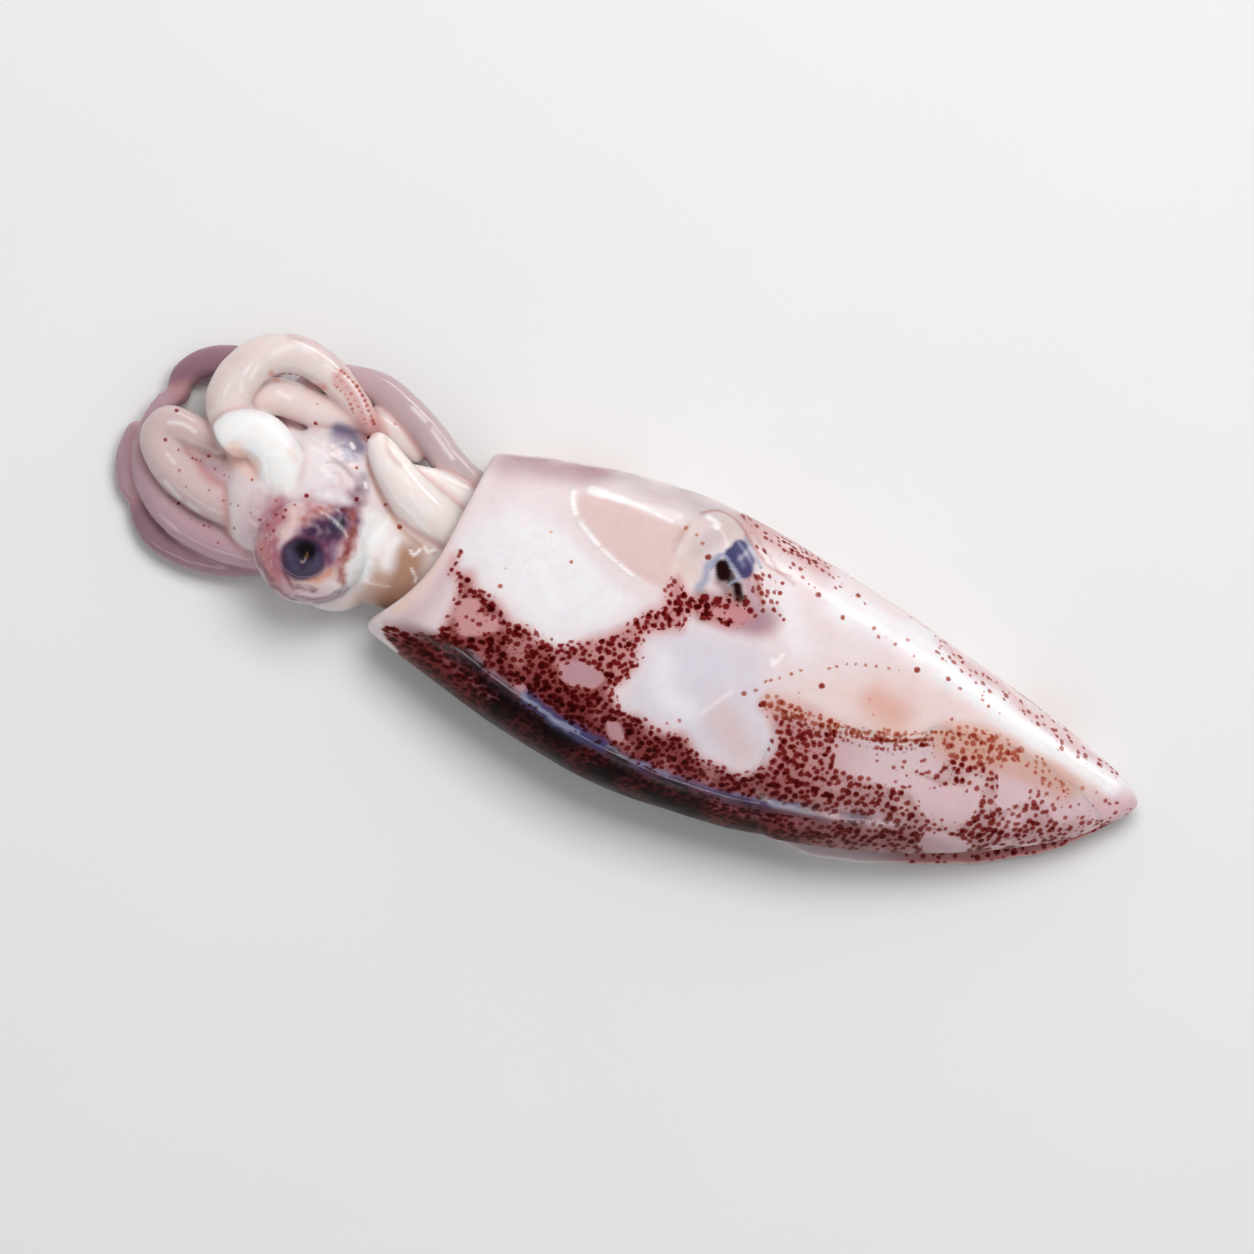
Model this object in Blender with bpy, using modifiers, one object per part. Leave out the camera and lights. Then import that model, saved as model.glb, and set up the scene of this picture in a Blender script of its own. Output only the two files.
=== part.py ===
"""A whole raw squid, put down on its side.

Its pieces are the mantle with both fins; the head with the funnel, eight arms and two tentacles; and the eyes.

Metres, +Z up. +X runs from the arms to the tail. The squid's back faces -Y, and its right eye looks up.
The origin is the middle of the footprint, on the surface that the squid lies on.

Run with: blender --background --python part.py
"""

import math

import bmesh
import bpy
from mathutils import Vector

MM = 0.001

# Mantle: the body tube, from its open front edge (along = 0) to the tail tip (along = 1)
MANTLE_LENGTH = 97 * MM
MANTLE_HALF_WIDTH = 20.15 * MM
WIDEST_AT = 0.32
MOUTH_SHARE = 0.70  # half width of the mouth, as a share of the widest
MOUTH_SWELL = 1.8  # how fast the tube swells behind the mouth
TAIL_POWER = 1.61
TAIL_ROUNDNESS = 0.73
BELLY_FLATNESS = 0.61  # height over width where the tube lies flattest
END_FLATNESS = 0.80  # height over width at the ends
FLATTEST_AT = 0.4
SECTION_SQUARENESS = 2.35  # superellipse power of a section
SAG = 0.80  # height of a section's middle over its half height, so that the underside lies flat
TAIL_LIFT = 4 * MM
BEND_RADIUS = 400 * MM
SWAY = 0.55 * MM  # the spine swings this far to each side of its arc
MOUTH_MIDDLE = Vector((-26.6, 2.3)) * MM
WALL = 2.0 * MM
COLLAR_DEPTH = 0.09  # how far the open front reaches in, as a share of the length
MANTLE_SIDES = 36
OUTER_STATIONS = 24

# The front edge runs forward to a point beside the back
LOBE_ANGLE = math.radians(170)
LOBE_HALF_ANGLE = math.radians(85)
LOBE_REACH = 4.4 * MM
LOBE_FADE = 0.16

# A low lump on the belly side of the top: (along, angle), radius and height
LUMP_AT = (0.325, math.radians(42))
LUMP_RADIUS = 6.0 * MM
LUMP_HEIGHT = 0.9 * MM

# Fins: the near one lies folded over the mantle, the far one under it with its edge showing
BACK_ANGLE = math.radians(188)  # where the fins grow, round the section
FIN_ROOT_START = 0.52
FIN_EDGE_START = 0.455
FIN_END = 0.985
FIN_SINK = (0.82, 1.5 * MM)  # from this share of its length back, the near fin sinks this far into the tail
NEAR_FIN_CORNER = 0.05  # rounding of the front corner, as a share of the fin's length
FAR_FIN_CORNER = 0.35
FIN_SPAN = math.radians(94)
FIN_SWELL = math.radians(24)  # how much further it spans where it is widest
FIN_SWELL_POWER = 1.6
NEAR_FIN_THICKNESS = 1.7 * MM
FAR_FIN_ROOT = math.radians(228)
FAR_FIN_EDGE = 1.8 * MM
FAR_FIN_THICKNESS = 1.2 * MM

# Head, in millimetres: (middle), (half length, half width, half height)
SKULL = ((-43.4, 2.6, 8.3), (10.2, 9.6, 8.0))
HEAD_FORMS = {
    "crown": ((-50.5, 1.6, 8.2), (6.6, 8.6, 7.6)),
    "neck": ((-33.5, -0.2, 7.9), (12.5, 7.9, 6.0)),
    "nape": ((-39.4, -3.2, 7.2), (6.6, 7.7, 6.6)),
    "right_bulge": ((-43.0, -3.2, 10.4), (8.0, 8.0, 8.0)),
    "left_bulge": ((-43.8, 7.2, 6.2), (5.9, 5.9, 5.9)),
}

# Eyes, in millimetres: middle and radius
EYES = {
    "eye_right": ((-43.0, -3.7, 11.9), 7.5),
    "eye_left": ((-43.8, 7.9, 5.7), 5.3),
}
EYE_GAP = 0.3

# Funnel, in millimetres
FUNNEL_ROUTE = (
    (-22.5, 4.0, 8.6), (-27.0, 4.6, 10.2), (-31.5, 6.2, 12.0), (-35.5, 8.6, 13.6), (-38.6, 11.2, 14.4),
)
FUNNEL_RADII = (2.6, 3.4, 3.3, 2.8, 2.1)
FUNNEL_STRAND = ((-22.5, 8.6, 8.0), (-26.5, 9.3, 9.2), (-31.0, 9.8, 10.4), (-35.4, 10.2, 11.2))
FUNNEL_STRAND_RADII = (2.2, 2.3, 1.8, 0.8)
FUNNEL_HOLE = ((-40.6, 12.9, 15.0), (-36.8, 9.7, 13.9))
FUNNEL_HOLE_RADIUS = 1.1

# Arms and tentacles, in millimetres: points from the crown to the tip, then the radius at each end
ARMS = {
    "arch_over_top": (
        ((-50.5, 3.5, 7.5), (-56.0, 6.5, 9.6), (-59.7, 10.0, 11.0), (-59.6, 14.0, 11.6), (-57.2, 17.8, 11.8),
         (-53.2, 19.3, 11.6), (-49.2, 18.6, 11.0), (-45.6, 16.8, 10.2), (-42.4, 14.6, 9.4), (-40.4, 13.0, 8.8)),
        3.2, 1.4,
    ),
    "curl_in_front": (
        ((-48.6, -0.6, 10.4), (-50.2, 3.6, 13.0), (-53.0, 6.7, 14.2), (-56.6, 7.0, 13.8), (-58.6, 5.0, 12.8),
         (-57.6, 2.2, 11.8), (-55.2, 1.0, 11.2), (-53.4, 1.6, 11.0)),
        3.6, 1.7,
    ),
    "under_arch": (
        ((-51.5, 6.0, 6.0), (-56.0, 8.6, 7.0), (-57.0, 11.6, 7.6), (-54.0, 13.3, 8.0), (-49.0, 13.4, 8.4),
         (-44.5, 13.9, 8.6), (-40.6, 14.4, 8.0), (-36.6, 13.2, 7.4), (-33.4, 11.8, 7.0)),
        2.7, 1.2,
    ),
    "folded_back": (
        ((-48.5, -2.2, 8.8), (-54.0, -2.2, 9.0), (-59.5, -1.6, 8.6), (-64.0, 0.0, 8.0), (-66.8, 2.6, 7.6),
         (-66.2, 5.0, 7.8), (-63.2, 5.2, 8.2), (-60.0, 4.9, 8.6), (-57.0, 4.4, 8.8)),
        3.0, 1.8,
    ),
    "lower_outer": (
        ((-46.5, -5.4, 6.4), (-52.0, -6.9, 6.2), (-57.2, -7.0, 5.8), (-61.4, -6.0, 5.4), (-65.0, -3.8, 4.8),
         (-67.4, -0.8, 4.2), (-68.3, 3.2, 3.8), (-67.8, 7.4, 3.4), (-65.6, 10.4, 3.0)),
        2.6, 1.1,
    ),
    "far_side": (
        ((-48.4, 6.6, 4.4), (-53.6, 12.0, 3.4), (-59.0, 15.4, 2.8), (-64.0, 14.6, 2.8), (-66.8, 11.4, 2.7),
         (-66.0, 7.8, 2.4)),
        2.7, 1.3,
    ),
    "near_floor": (
        ((-45.0, -4.6, 4.0), (-51.0, -8.2, 3.2), (-57.0, -9.8, 2.7), (-62.6, -9.4, 2.4), (-66.0, -6.8, 2.2),
         (-67.2, -3.4, 2.0)),
        2.5, 1.1,
    ),
    "underneath": (
        ((-48.0, 1.0, 4.2), (-54.0, 2.6, 3.4), (-60.0, 2.2, 2.8), (-64.6, -0.8, 2.4)),
        2.6, 1.2,
    ),
    "tentacle_to_collar": (
        ((-48.0, 8.0, 5.2), (-51.4, 12.6, 5.0), (-49.4, 17.0, 5.2), (-45.0, 18.6, 5.8), (-41.0, 18.6, 6.4),
         (-37.4, 17.3, 7.0), (-33.8, 15.4, 7.6), (-30.4, 13.2, 8.0), (-27.0, 11.4, 8.1), (-23.0, 10.0, 8.0)),
        2.2, 2.3,
    ),
    "tentacle_on_floor": (
        ((-48.6, -1.0, 3.8), (-54.0, -1.6, 2.8), (-59.8, -3.2, 2.2), (-64.4, -4.9, 2.0), (-67.6, -4.6, 2.0),
         (-69.4, -2.2, 2.0), (-69.8, 1.0, 2.2), (-69.4, 4.0, 2.2)),
        1.7, 1.9,
    ),
}
ARM_TAPER = 2.2  # above 1, an arm stays thick longer before it thins
TIP_SHARE = 0.35  # an arm's last section is this much of its tip radius, so that the tip is rounded
POINT_SPACING = 2.1 * MM

# Colours (red, green, blue, alpha) and finish
SKIN = ((0.80, 0.66, 0.66, 1.0), 0.28)
FLESH = ((0.84, 0.74, 0.68, 1.0), 0.26)
EYE_WHITE = ((0.72, 0.50, 0.47, 1.0), 0.12)


def clear_scene():
    for thing in list(bpy.data.objects):
        bpy.data.objects.remove(thing)


def new_collection(name, shown):
    made = bpy.data.collections.new(name)
    bpy.context.scene.collection.children.link(made)
    made.hide_render = not shown
    return made


def material(name, finish):
    colour, roughness = finish
    made = bpy.data.materials.new(name)
    made.use_nodes = True
    shader = made.node_tree.nodes["Principled BSDF"]
    shader.inputs["Base Color"].default_value = colour
    shader.inputs["Roughness"].default_value = roughness
    shader.inputs["Metallic"].default_value = 0.0
    return made


def as_mesh(source, name, collection):
    """The evaluated shape of source as a mesh object in that collection; source is removed."""
    bpy.context.view_layer.update()
    shape = source.evaluated_get(bpy.context.evaluated_depsgraph_get())
    mesh = bpy.data.meshes.new_from_object(shape)
    mesh.transform(source.matrix_world)
    mesh.shade_smooth()
    bpy.data.objects.remove(source)
    made = bpy.data.objects.new(name, mesh)
    collection.objects.link(made)
    if collection.hide_render:
        made.hide_render = True
        made.display_type = "WIRE"
    return made


def tidy_normals(mesh):
    """Merges doubled points and turns every face outwards."""
    shape = bmesh.new()
    shape.from_mesh(mesh)
    bmesh.ops.remove_doubles(shape, verts=shape.verts, dist=0.01 * MM)
    bmesh.ops.recalc_face_normals(shape, faces=shape.faces)
    shape.to_mesh(mesh)
    shape.free()


def boolean(target, operation, operand):
    """Adds a Boolean to target. operand is an object, or a collection of objects."""
    modifier = target.modifiers.new(operation.lower(), "BOOLEAN")
    modifier.operation = operation
    modifier.solver = "EXACT"
    if isinstance(operand, bpy.types.Collection):
        modifier.operand_type = "COLLECTION"
        modifier.collection = operand
    else:
        modifier.object = operand
    return modifier


# The mantle's form


def half_width(along):
    """Half the mantle's width, at a share of its length from the mouth."""
    if along < WIDEST_AT:
        swell = 1 - (1 - max(along, 0.0) / WIDEST_AT) ** MOUTH_SWELL
        return MANTLE_HALF_WIDTH * (MOUTH_SHARE + (1 - MOUTH_SHARE) * swell)
    behind = min((along - WIDEST_AT) / (1 - WIDEST_AT), 1.0)
    return MANTLE_HALF_WIDTH * (1 - behind**TAIL_POWER) ** TAIL_ROUNDNESS


def flatness(along):
    away = (along - FLATTEST_AT) / (1 - FLATTEST_AT)
    return BELLY_FLATNESS + (END_FLATNESS - BELLY_FLATNESS) * away**2


def middle_height(along):
    """Height of the middle of a section above the surface that the squid lies on."""
    resting = SAG * half_width(along) * flatness(along)
    return math.hypot(resting, TAIL_LIFT * along**4)


def spine(along):
    """The middle line in plan and the direction across it: an arc that sags to the back and sways a little."""
    half_turn = MANTLE_LENGTH / BEND_RADIUS / 2
    turn = along * 2 * half_turn - half_turn
    centre = MOUTH_MIDDLE + BEND_RADIUS * Vector((math.sin(half_turn), math.cos(half_turn)))
    across = Vector((-math.sin(turn), math.cos(turn)))
    return centre - (BEND_RADIUS - SWAY * math.sin(2 * math.pi * along)) * across, across


def rounded(value):
    return math.copysign(abs(value) ** (2 / SECTION_SQUARENESS), value)


def angle_between(first, second):
    return abs((first - second + math.pi) % (2 * math.pi) - math.pi)


def lobe(along, angle):
    """How far the front edge is drawn forward beside the back, in shares of the length."""
    off = angle_between(angle, LOBE_ANGLE)
    if off > LOBE_HALF_ANGLE or along > LOBE_FADE:
        return 0.0
    rise = math.cos(off / LOBE_HALF_ANGLE * math.pi / 2) ** 2
    return LOBE_REACH / MANTLE_LENGTH * rise * (1 - along / LOBE_FADE) ** 2


def lump(along, angle):
    """Height of the lump above the skin."""
    lengthways = (along - LUMP_AT[0]) * MANTLE_LENGTH
    round_the_side = angle_between(angle, LUMP_AT[1]) * half_width(along)
    away = math.hypot(lengthways, round_the_side) / LUMP_RADIUS
    return LUMP_HEIGHT * max(0.0, 1 - away**2) ** 2


def on_mantle(along, angle, share=1.0, out=0.0):
    """A point of the mantle.

    angle turns from +Y over the top. share below 1 is inside, and out is proud of the skin.
    """
    if share > 0.99:
        out += lump(along, angle)
    across = half_width(along) * share + out
    up = half_width(along) * flatness(along) * share + out
    middle, sideways = spine(along - lobe(along, angle))
    plan = middle + sideways * across * rounded(math.cos(angle))
    inside = half_width(along) * (1 - share)
    floor = 0.9 * min(WALL, inside)
    return Vector((*plan, max(floor, middle_height(along) + up * rounded(math.sin(angle)))))


def mantle_profile():
    """(radius, along) from the middle of the collar's floor, out over the front edge and back to the tail."""
    edge = WALL / 2
    edge_along = edge / MANTLE_LENGTH
    inner = [(0.0, 1.0), (0.5, 1.0), (0.85, 0.93), (1.0, 0.78), (1.0, 0.55), (1.0, 0.3)]
    points = []
    for share, depth in inner:
        along = COLLAR_DEPTH * depth
        points.append(((half_width(along) - WALL) * share, along))
    for step in range(5):
        turn = math.pi * step / 4
        radius = half_width(edge_along) - edge - edge * math.cos(turn)
        points.append((radius, edge_along * (1 - math.sin(turn))))
    for step in range(1, OUTER_STATIONS + 1):
        along = edge_along + (1 - edge_along) * (1 - (1 - step / OUTER_STATIONS) ** 1.45)
        points.append((half_width(along) if step < OUTER_STATIONS else 0.0, along))
    return points


def build_mantle(shown, helpers):
    """A turned tube, laid down: flattened on the surface, bent along the spine and drawn out over the back."""
    profile = bpy.data.meshes.new("mantle_profile")
    points = [(radius, 0.0, MANTLE_LENGTH * (1 - along)) for radius, along in mantle_profile()]
    profile.from_pydata(points, [(i, i + 1) for i in range(len(points) - 1)], [])
    turned = bpy.data.objects.new("mantle_profile", profile)
    shown.objects.link(turned)
    screw = turned.modifiers.new("turn", "SCREW")
    screw.steps = screw.render_steps = MANTLE_SIDES
    screw.use_merge_vertices = True
    screw.merge_threshold = 0.01 * MM
    mantle = as_mesh(turned, "mantle", shown)
    for vertex in mantle.data.vertices:
        x, y, z = vertex.co
        along = 1 - z / MANTLE_LENGTH
        radius = math.hypot(x, y)
        share = radius / max(half_width(along), 0.1 * MM)
        vertex.co = on_mantle(along, math.atan2(y, x) % (2 * math.pi), min(share, 1.0))
    tidy_normals(mantle.data)
    for fin in (near_fin(helpers), far_fin(helpers)):
        boolean(mantle, "UNION", fin)
    return mantle


# Fins


def rounded_off(u, corner):
    """A fin's reach, as a share, where its front corner is rounded off."""
    front = min(u / corner, 1.0)
    return math.sqrt(max(1 - (1 - front) ** 2, 0.1))


def fin_sheet(name, place, helpers, columns, rows, thickness):
    """A grid laid by place(u, v), u along the fin and v from root to free edge, then thickened."""
    bpy.ops.mesh.primitive_grid_add(x_subdivisions=columns, y_subdivisions=rows, size=1)
    sheet = bpy.context.object
    for vertex in sheet.data.vertices:
        vertex.co = place((vertex.co.x + 0.5) ** 1.5, vertex.co.y + 0.5)
    wall = sheet.modifiers.new("thickness", "SOLIDIFY")
    wall.thickness = thickness
    wall.offset = 0.0
    fin = as_mesh(sheet, name, helpers)
    tidy_normals(fin.data)
    return fin


def near_fin(helpers):
    """The fin that is folded up over the mantle. Its root is sunk in the skin; its free edge stands proud."""

    def place(u, v):
        start = FIN_ROOT_START + (FIN_EDGE_START - FIN_ROOT_START) * v
        along = start + (FIN_END - start) * u
        span = FIN_SPAN + FIN_SWELL * math.sin(math.pi * u**FIN_SWELL_POWER) ** 2
        angle = BACK_ANGLE - span * rounded_off(u, NEAR_FIN_CORNER) * v
        proud = (-1.1 + 1.1 * min(v * 4, 1.0)) * MM
        sunk = max(0.0, (u - FIN_SINK[0]) / (1 - FIN_SINK[0])) ** 2 * FIN_SINK[1]
        return on_mantle(along, angle, out=proud - sunk)

    return fin_sheet("near_fin", place, helpers, 18, 8, NEAR_FIN_THICKNESS)


def far_fin(helpers):
    """The fin that lies flat under the mantle, from its root on the underside to an edge beyond the outline."""
    lowest = FAR_FIN_THICKNESS / 2 + 0.15 * MM

    def place(u, v):
        along = FIN_EDGE_START + (FIN_END - FIN_EDGE_START) * u
        middle, across = spine(along)
        root = on_mantle(along, FAR_FIN_ROOT, out=-0.8 * MM)
        reach = half_width(along) + FAR_FIN_EDGE * rounded_off(u, FAR_FIN_CORNER)
        edge = Vector((*(middle - across * reach), lowest + TAIL_LIFT * along**4 / 2))
        root.z = max(root.z, lowest)
        return root.lerp(edge, v)

    return fin_sheet("far_fin", place, helpers, 14, 3, FAR_FIN_THICKNESS)


# Head, funnel, arms and tentacles


def ellipsoid(name, form, collection, segments, rings):
    middle, radii = form
    bpy.ops.mesh.primitive_uv_sphere_add(segments=segments, ring_count=rings, radius=1.0)
    ball = bpy.context.object
    ball.location = Vector(middle) * MM
    ball.scale = Vector(radii) * MM
    return as_mesh(ball, name, collection)


def along_curve(points, share):
    """A point on the smooth curve through the given points, at a share from 0 to 1 of its spans."""
    spans = len(points) - 1
    place = min(max(share, 0.0), 0.999999) * spans
    index, t = int(place), place % 1.0
    p0, p1, p2, p3 = (Vector(points[min(max(index + k, 0), spans)]) for k in (-1, 0, 1, 2))
    bend = 2 * p0 - 5 * p1 + 4 * p2 - p3
    return 0.5 * (2 * p1 + (p2 - p0) * t + bend * t**2 + (3 * p1 - p0 - 3 * p2 + p3) * t**3)


def tube(name, route, radius_at, collection):
    """A round tube along a smooth route in millimetres; radius_at(share) is its radius in millimetres."""
    length = sum((Vector(b) - Vector(a)).length for a, b in zip(route, route[1:])) * MM
    steps = max(6, round(length / POINT_SPACING))
    curve = bpy.data.curves.new(name, "CURVE")
    curve.dimensions = "3D"
    curve.bevel_depth = MM
    curve.bevel_resolution = 2
    curve.use_fill_caps = True
    line = curve.splines.new("POLY")
    line.points.add(steps)
    for step, point in enumerate(line.points):
        share = step / steps
        point.co = (*(along_curve(route, share) * MM), 1.0)
        point.radius = radius_at(share)
    sweep = bpy.data.objects.new(name, curve)
    bpy.context.scene.collection.objects.link(sweep)
    made = as_mesh(sweep, name, collection)
    tidy_normals(made.data)
    return made


def tapered(thick, thin):
    """The radius along an arm, from its root to its rounded tip."""

    def radius_at(share):
        radius = thick + (thin - thick) * share**ARM_TAPER
        return radius * TIP_SHARE if share == 1 else radius

    return radius_at


def stepped(radii):
    flat = [(radius, 0.0, 0.0) for radius in radii]
    return lambda share: along_curve(flat, share).x


def build_head(shown, helpers):
    """Skull, neck, funnel, arms and tentacles as one body, with a socket for each eye."""
    grown = new_collection("grown_on_head", shown=False)
    for name, form in HEAD_FORMS.items():
        ellipsoid(name, form, grown, 22, 12)
    tube("funnel", FUNNEL_ROUTE, stepped(FUNNEL_RADII), grown)
    tube("funnel_strand", FUNNEL_STRAND, stepped(FUNNEL_STRAND_RADII), grown)
    for name, (route, thick, thin) in ARMS.items():
        tube(name, route, tapered(thick, thin), grown)
    head = ellipsoid("head_and_arms", SKULL, shown, 24, 14)
    boolean(head, "UNION", grown)
    boolean(head, "DIFFERENCE", tube("funnel_hole", FUNNEL_HOLE, lambda share: FUNNEL_HOLE_RADIUS, helpers))
    for name, (middle, radius) in EYES.items():
        room = (radius + EYE_GAP,) * 3
        boolean(head, "DIFFERENCE", ellipsoid(name + "_room", (middle, room), helpers, 24, 14))
    return head


def build_eye(name, shown):
    middle, radius = EYES[name]
    return ellipsoid(name, (middle, (radius,) * 3), shown, 24, 14)


def centre_on_footprint(collection):
    """Moves all the pieces, so that the origin is the middle of the whole footprint at its lowest point."""
    bpy.context.view_layer.update()
    graph = bpy.context.evaluated_depsgraph_get()
    corners = []
    for piece in collection.objects:
        shape = piece.evaluated_get(graph)
        corners += [shape.matrix_world @ Vector(corner) for corner in shape.bound_box]
    low = Vector(min(corner[axis] for corner in corners) for axis in range(3))
    high = Vector(max(corner[axis] for corner in corners) for axis in range(3))
    shift = Vector(((low.x + high.x) / 2, (low.y + high.y) / 2, low.z))
    for thing in bpy.data.objects:
        thing.location -= shift


def main():
    clear_scene()
    squid = new_collection("raw_squid", shown=True)
    helpers = new_collection("helpers", shown=False)
    mantle = build_mantle(squid, helpers)
    mantle.data.materials.append(material("mantle_skin", SKIN))
    head = build_head(squid, helpers)
    head.data.materials.append(material("head_flesh", FLESH))
    eye_finish = material("eye", EYE_WHITE)
    for name in EYES:
        build_eye(name, squid).data.materials.append(eye_finish)
    centre_on_footprint(squid)


main()
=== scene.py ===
"""A whole raw squid, lying on its side on a plain pale floor: skin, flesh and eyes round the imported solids.

Metres, +Z up. +X runs from the arms to the tail, and the squid's back faces -Y. Routes, outlines and strokes
are given in millimetres from the middle of the mantle's length, and SHIFT moves them into the frame.

A stroke of paint is (colour, strength, half width, softness, points): a smooth line through the points, seen
from above. A patch is (strength, softness, outline). Both are laid over what is painted before them.
"""

import math

import bmesh
import bpy
import numpy as np
from mathutils import Matrix, Vector, noise


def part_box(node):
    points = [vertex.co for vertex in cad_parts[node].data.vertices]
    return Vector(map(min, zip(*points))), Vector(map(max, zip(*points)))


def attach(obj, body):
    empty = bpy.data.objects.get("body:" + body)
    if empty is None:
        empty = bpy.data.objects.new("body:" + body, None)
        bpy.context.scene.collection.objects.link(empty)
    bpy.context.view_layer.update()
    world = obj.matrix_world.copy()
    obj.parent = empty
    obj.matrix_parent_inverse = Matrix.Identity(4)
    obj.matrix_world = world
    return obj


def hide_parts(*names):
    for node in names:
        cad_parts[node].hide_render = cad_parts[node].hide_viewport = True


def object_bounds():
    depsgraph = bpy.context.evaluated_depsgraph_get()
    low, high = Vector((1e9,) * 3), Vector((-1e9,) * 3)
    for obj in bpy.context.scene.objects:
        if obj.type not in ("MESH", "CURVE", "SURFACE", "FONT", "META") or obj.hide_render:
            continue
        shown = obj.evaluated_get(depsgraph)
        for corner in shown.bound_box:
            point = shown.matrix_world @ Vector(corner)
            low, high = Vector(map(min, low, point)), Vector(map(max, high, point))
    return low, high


bl_info = {
    "name": "Raw Squid",
    "version": (1, 0, 0),
    "blender": (4, 5, 0),
    "location": "View3D > Sidebar > Squid",
    "description": "Builds the skin, flesh, suckers and eyes of a raw squid, and a plain stage for it",
    "category": "Add Mesh",
}

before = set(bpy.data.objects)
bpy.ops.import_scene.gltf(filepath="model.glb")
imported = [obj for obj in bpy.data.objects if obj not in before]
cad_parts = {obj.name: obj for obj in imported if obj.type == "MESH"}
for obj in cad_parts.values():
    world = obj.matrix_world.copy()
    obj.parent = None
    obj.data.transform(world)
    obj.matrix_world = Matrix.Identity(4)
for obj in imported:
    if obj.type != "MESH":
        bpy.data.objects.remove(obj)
CAD_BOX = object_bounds()
MM = 0.001

# Eyes: middle and radius
EYES = {
    "eye_right": ((-43.0, -3.7, 11.9), 7.5),
    "eye_left": ((-43.8, 7.9, 5.7), 5.3),
}


def frame_shift():
    """From the tables' zero, in the middle of the mantle's length, to the frame's, in metres."""
    low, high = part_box("eye_right")
    return (low + high) / 2 - Vector(EYES["eye_right"][0]) * MM


SHIFT = np.array(frame_shift())

# Mantle, in millimetres and shares of its length
MOUTH_MIDDLE = (-26.6, 2.3)
WIDEST_AT = 0.32
MOUTH_SHARE = 0.70
MOUTH_SWELL = 1.8
TAIL_POWER = 1.61
TAIL_ROUNDNESS = 0.73
TIP_SWELL = 0.3
TIP_REACH = 0.031
BELLY_FLATNESS = 0.61
END_FLATNESS = 0.80
FLATTEST_AT = 0.4
SECTION_SQUARENESS = 2.35
SAG = 0.80
TAIL_LIFT = 4.0
BEND_RADIUS = 400.0
SWAY = 0.55
COLLAR_DEPTH = 0.09
LOBE_ANGLE = math.radians(170)
LOBE_HALF_ANGLE = math.radians(85)
LOBE_REACH = 4.4
LOBE_FADE = 0.16
FLOOR_ROUNDING = 0.45

# Skin laid flat round the tail: the fan's inner radius in millimetres
FAN_MIDDLE = 8.0
# Furthest that the distance to a spot is kept, in millimetres
MARK_REACH = 2.5

# The lump on the belly side of the top, in plan: middle, half length, half width, height
LUMP = ((5.6, 14.6), 5.0, 5.6, 1.5)

# Fins
BACK_ANGLE = math.radians(188)
FIN_ROOT_START = 0.52
FIN_EDGE_START = 0.455
FIN_END = 0.985
FIN_SPAN = math.radians(94)
FIN_SWELL = math.radians(24)
FIN_SWELL_POWER = 1.6
NEAR_FIN_CORNER = 0.05
FAR_FIN_CORNER = 0.35
FAR_FIN_ROOT = math.radians(228)
FAR_FIN_EDGE = 1.8

# Where each pupil is
PUPILS = {"eye_right": (-43.8, -5.0, 19.2), "eye_left": (-43.4, 11.6, 6.4)}
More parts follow.
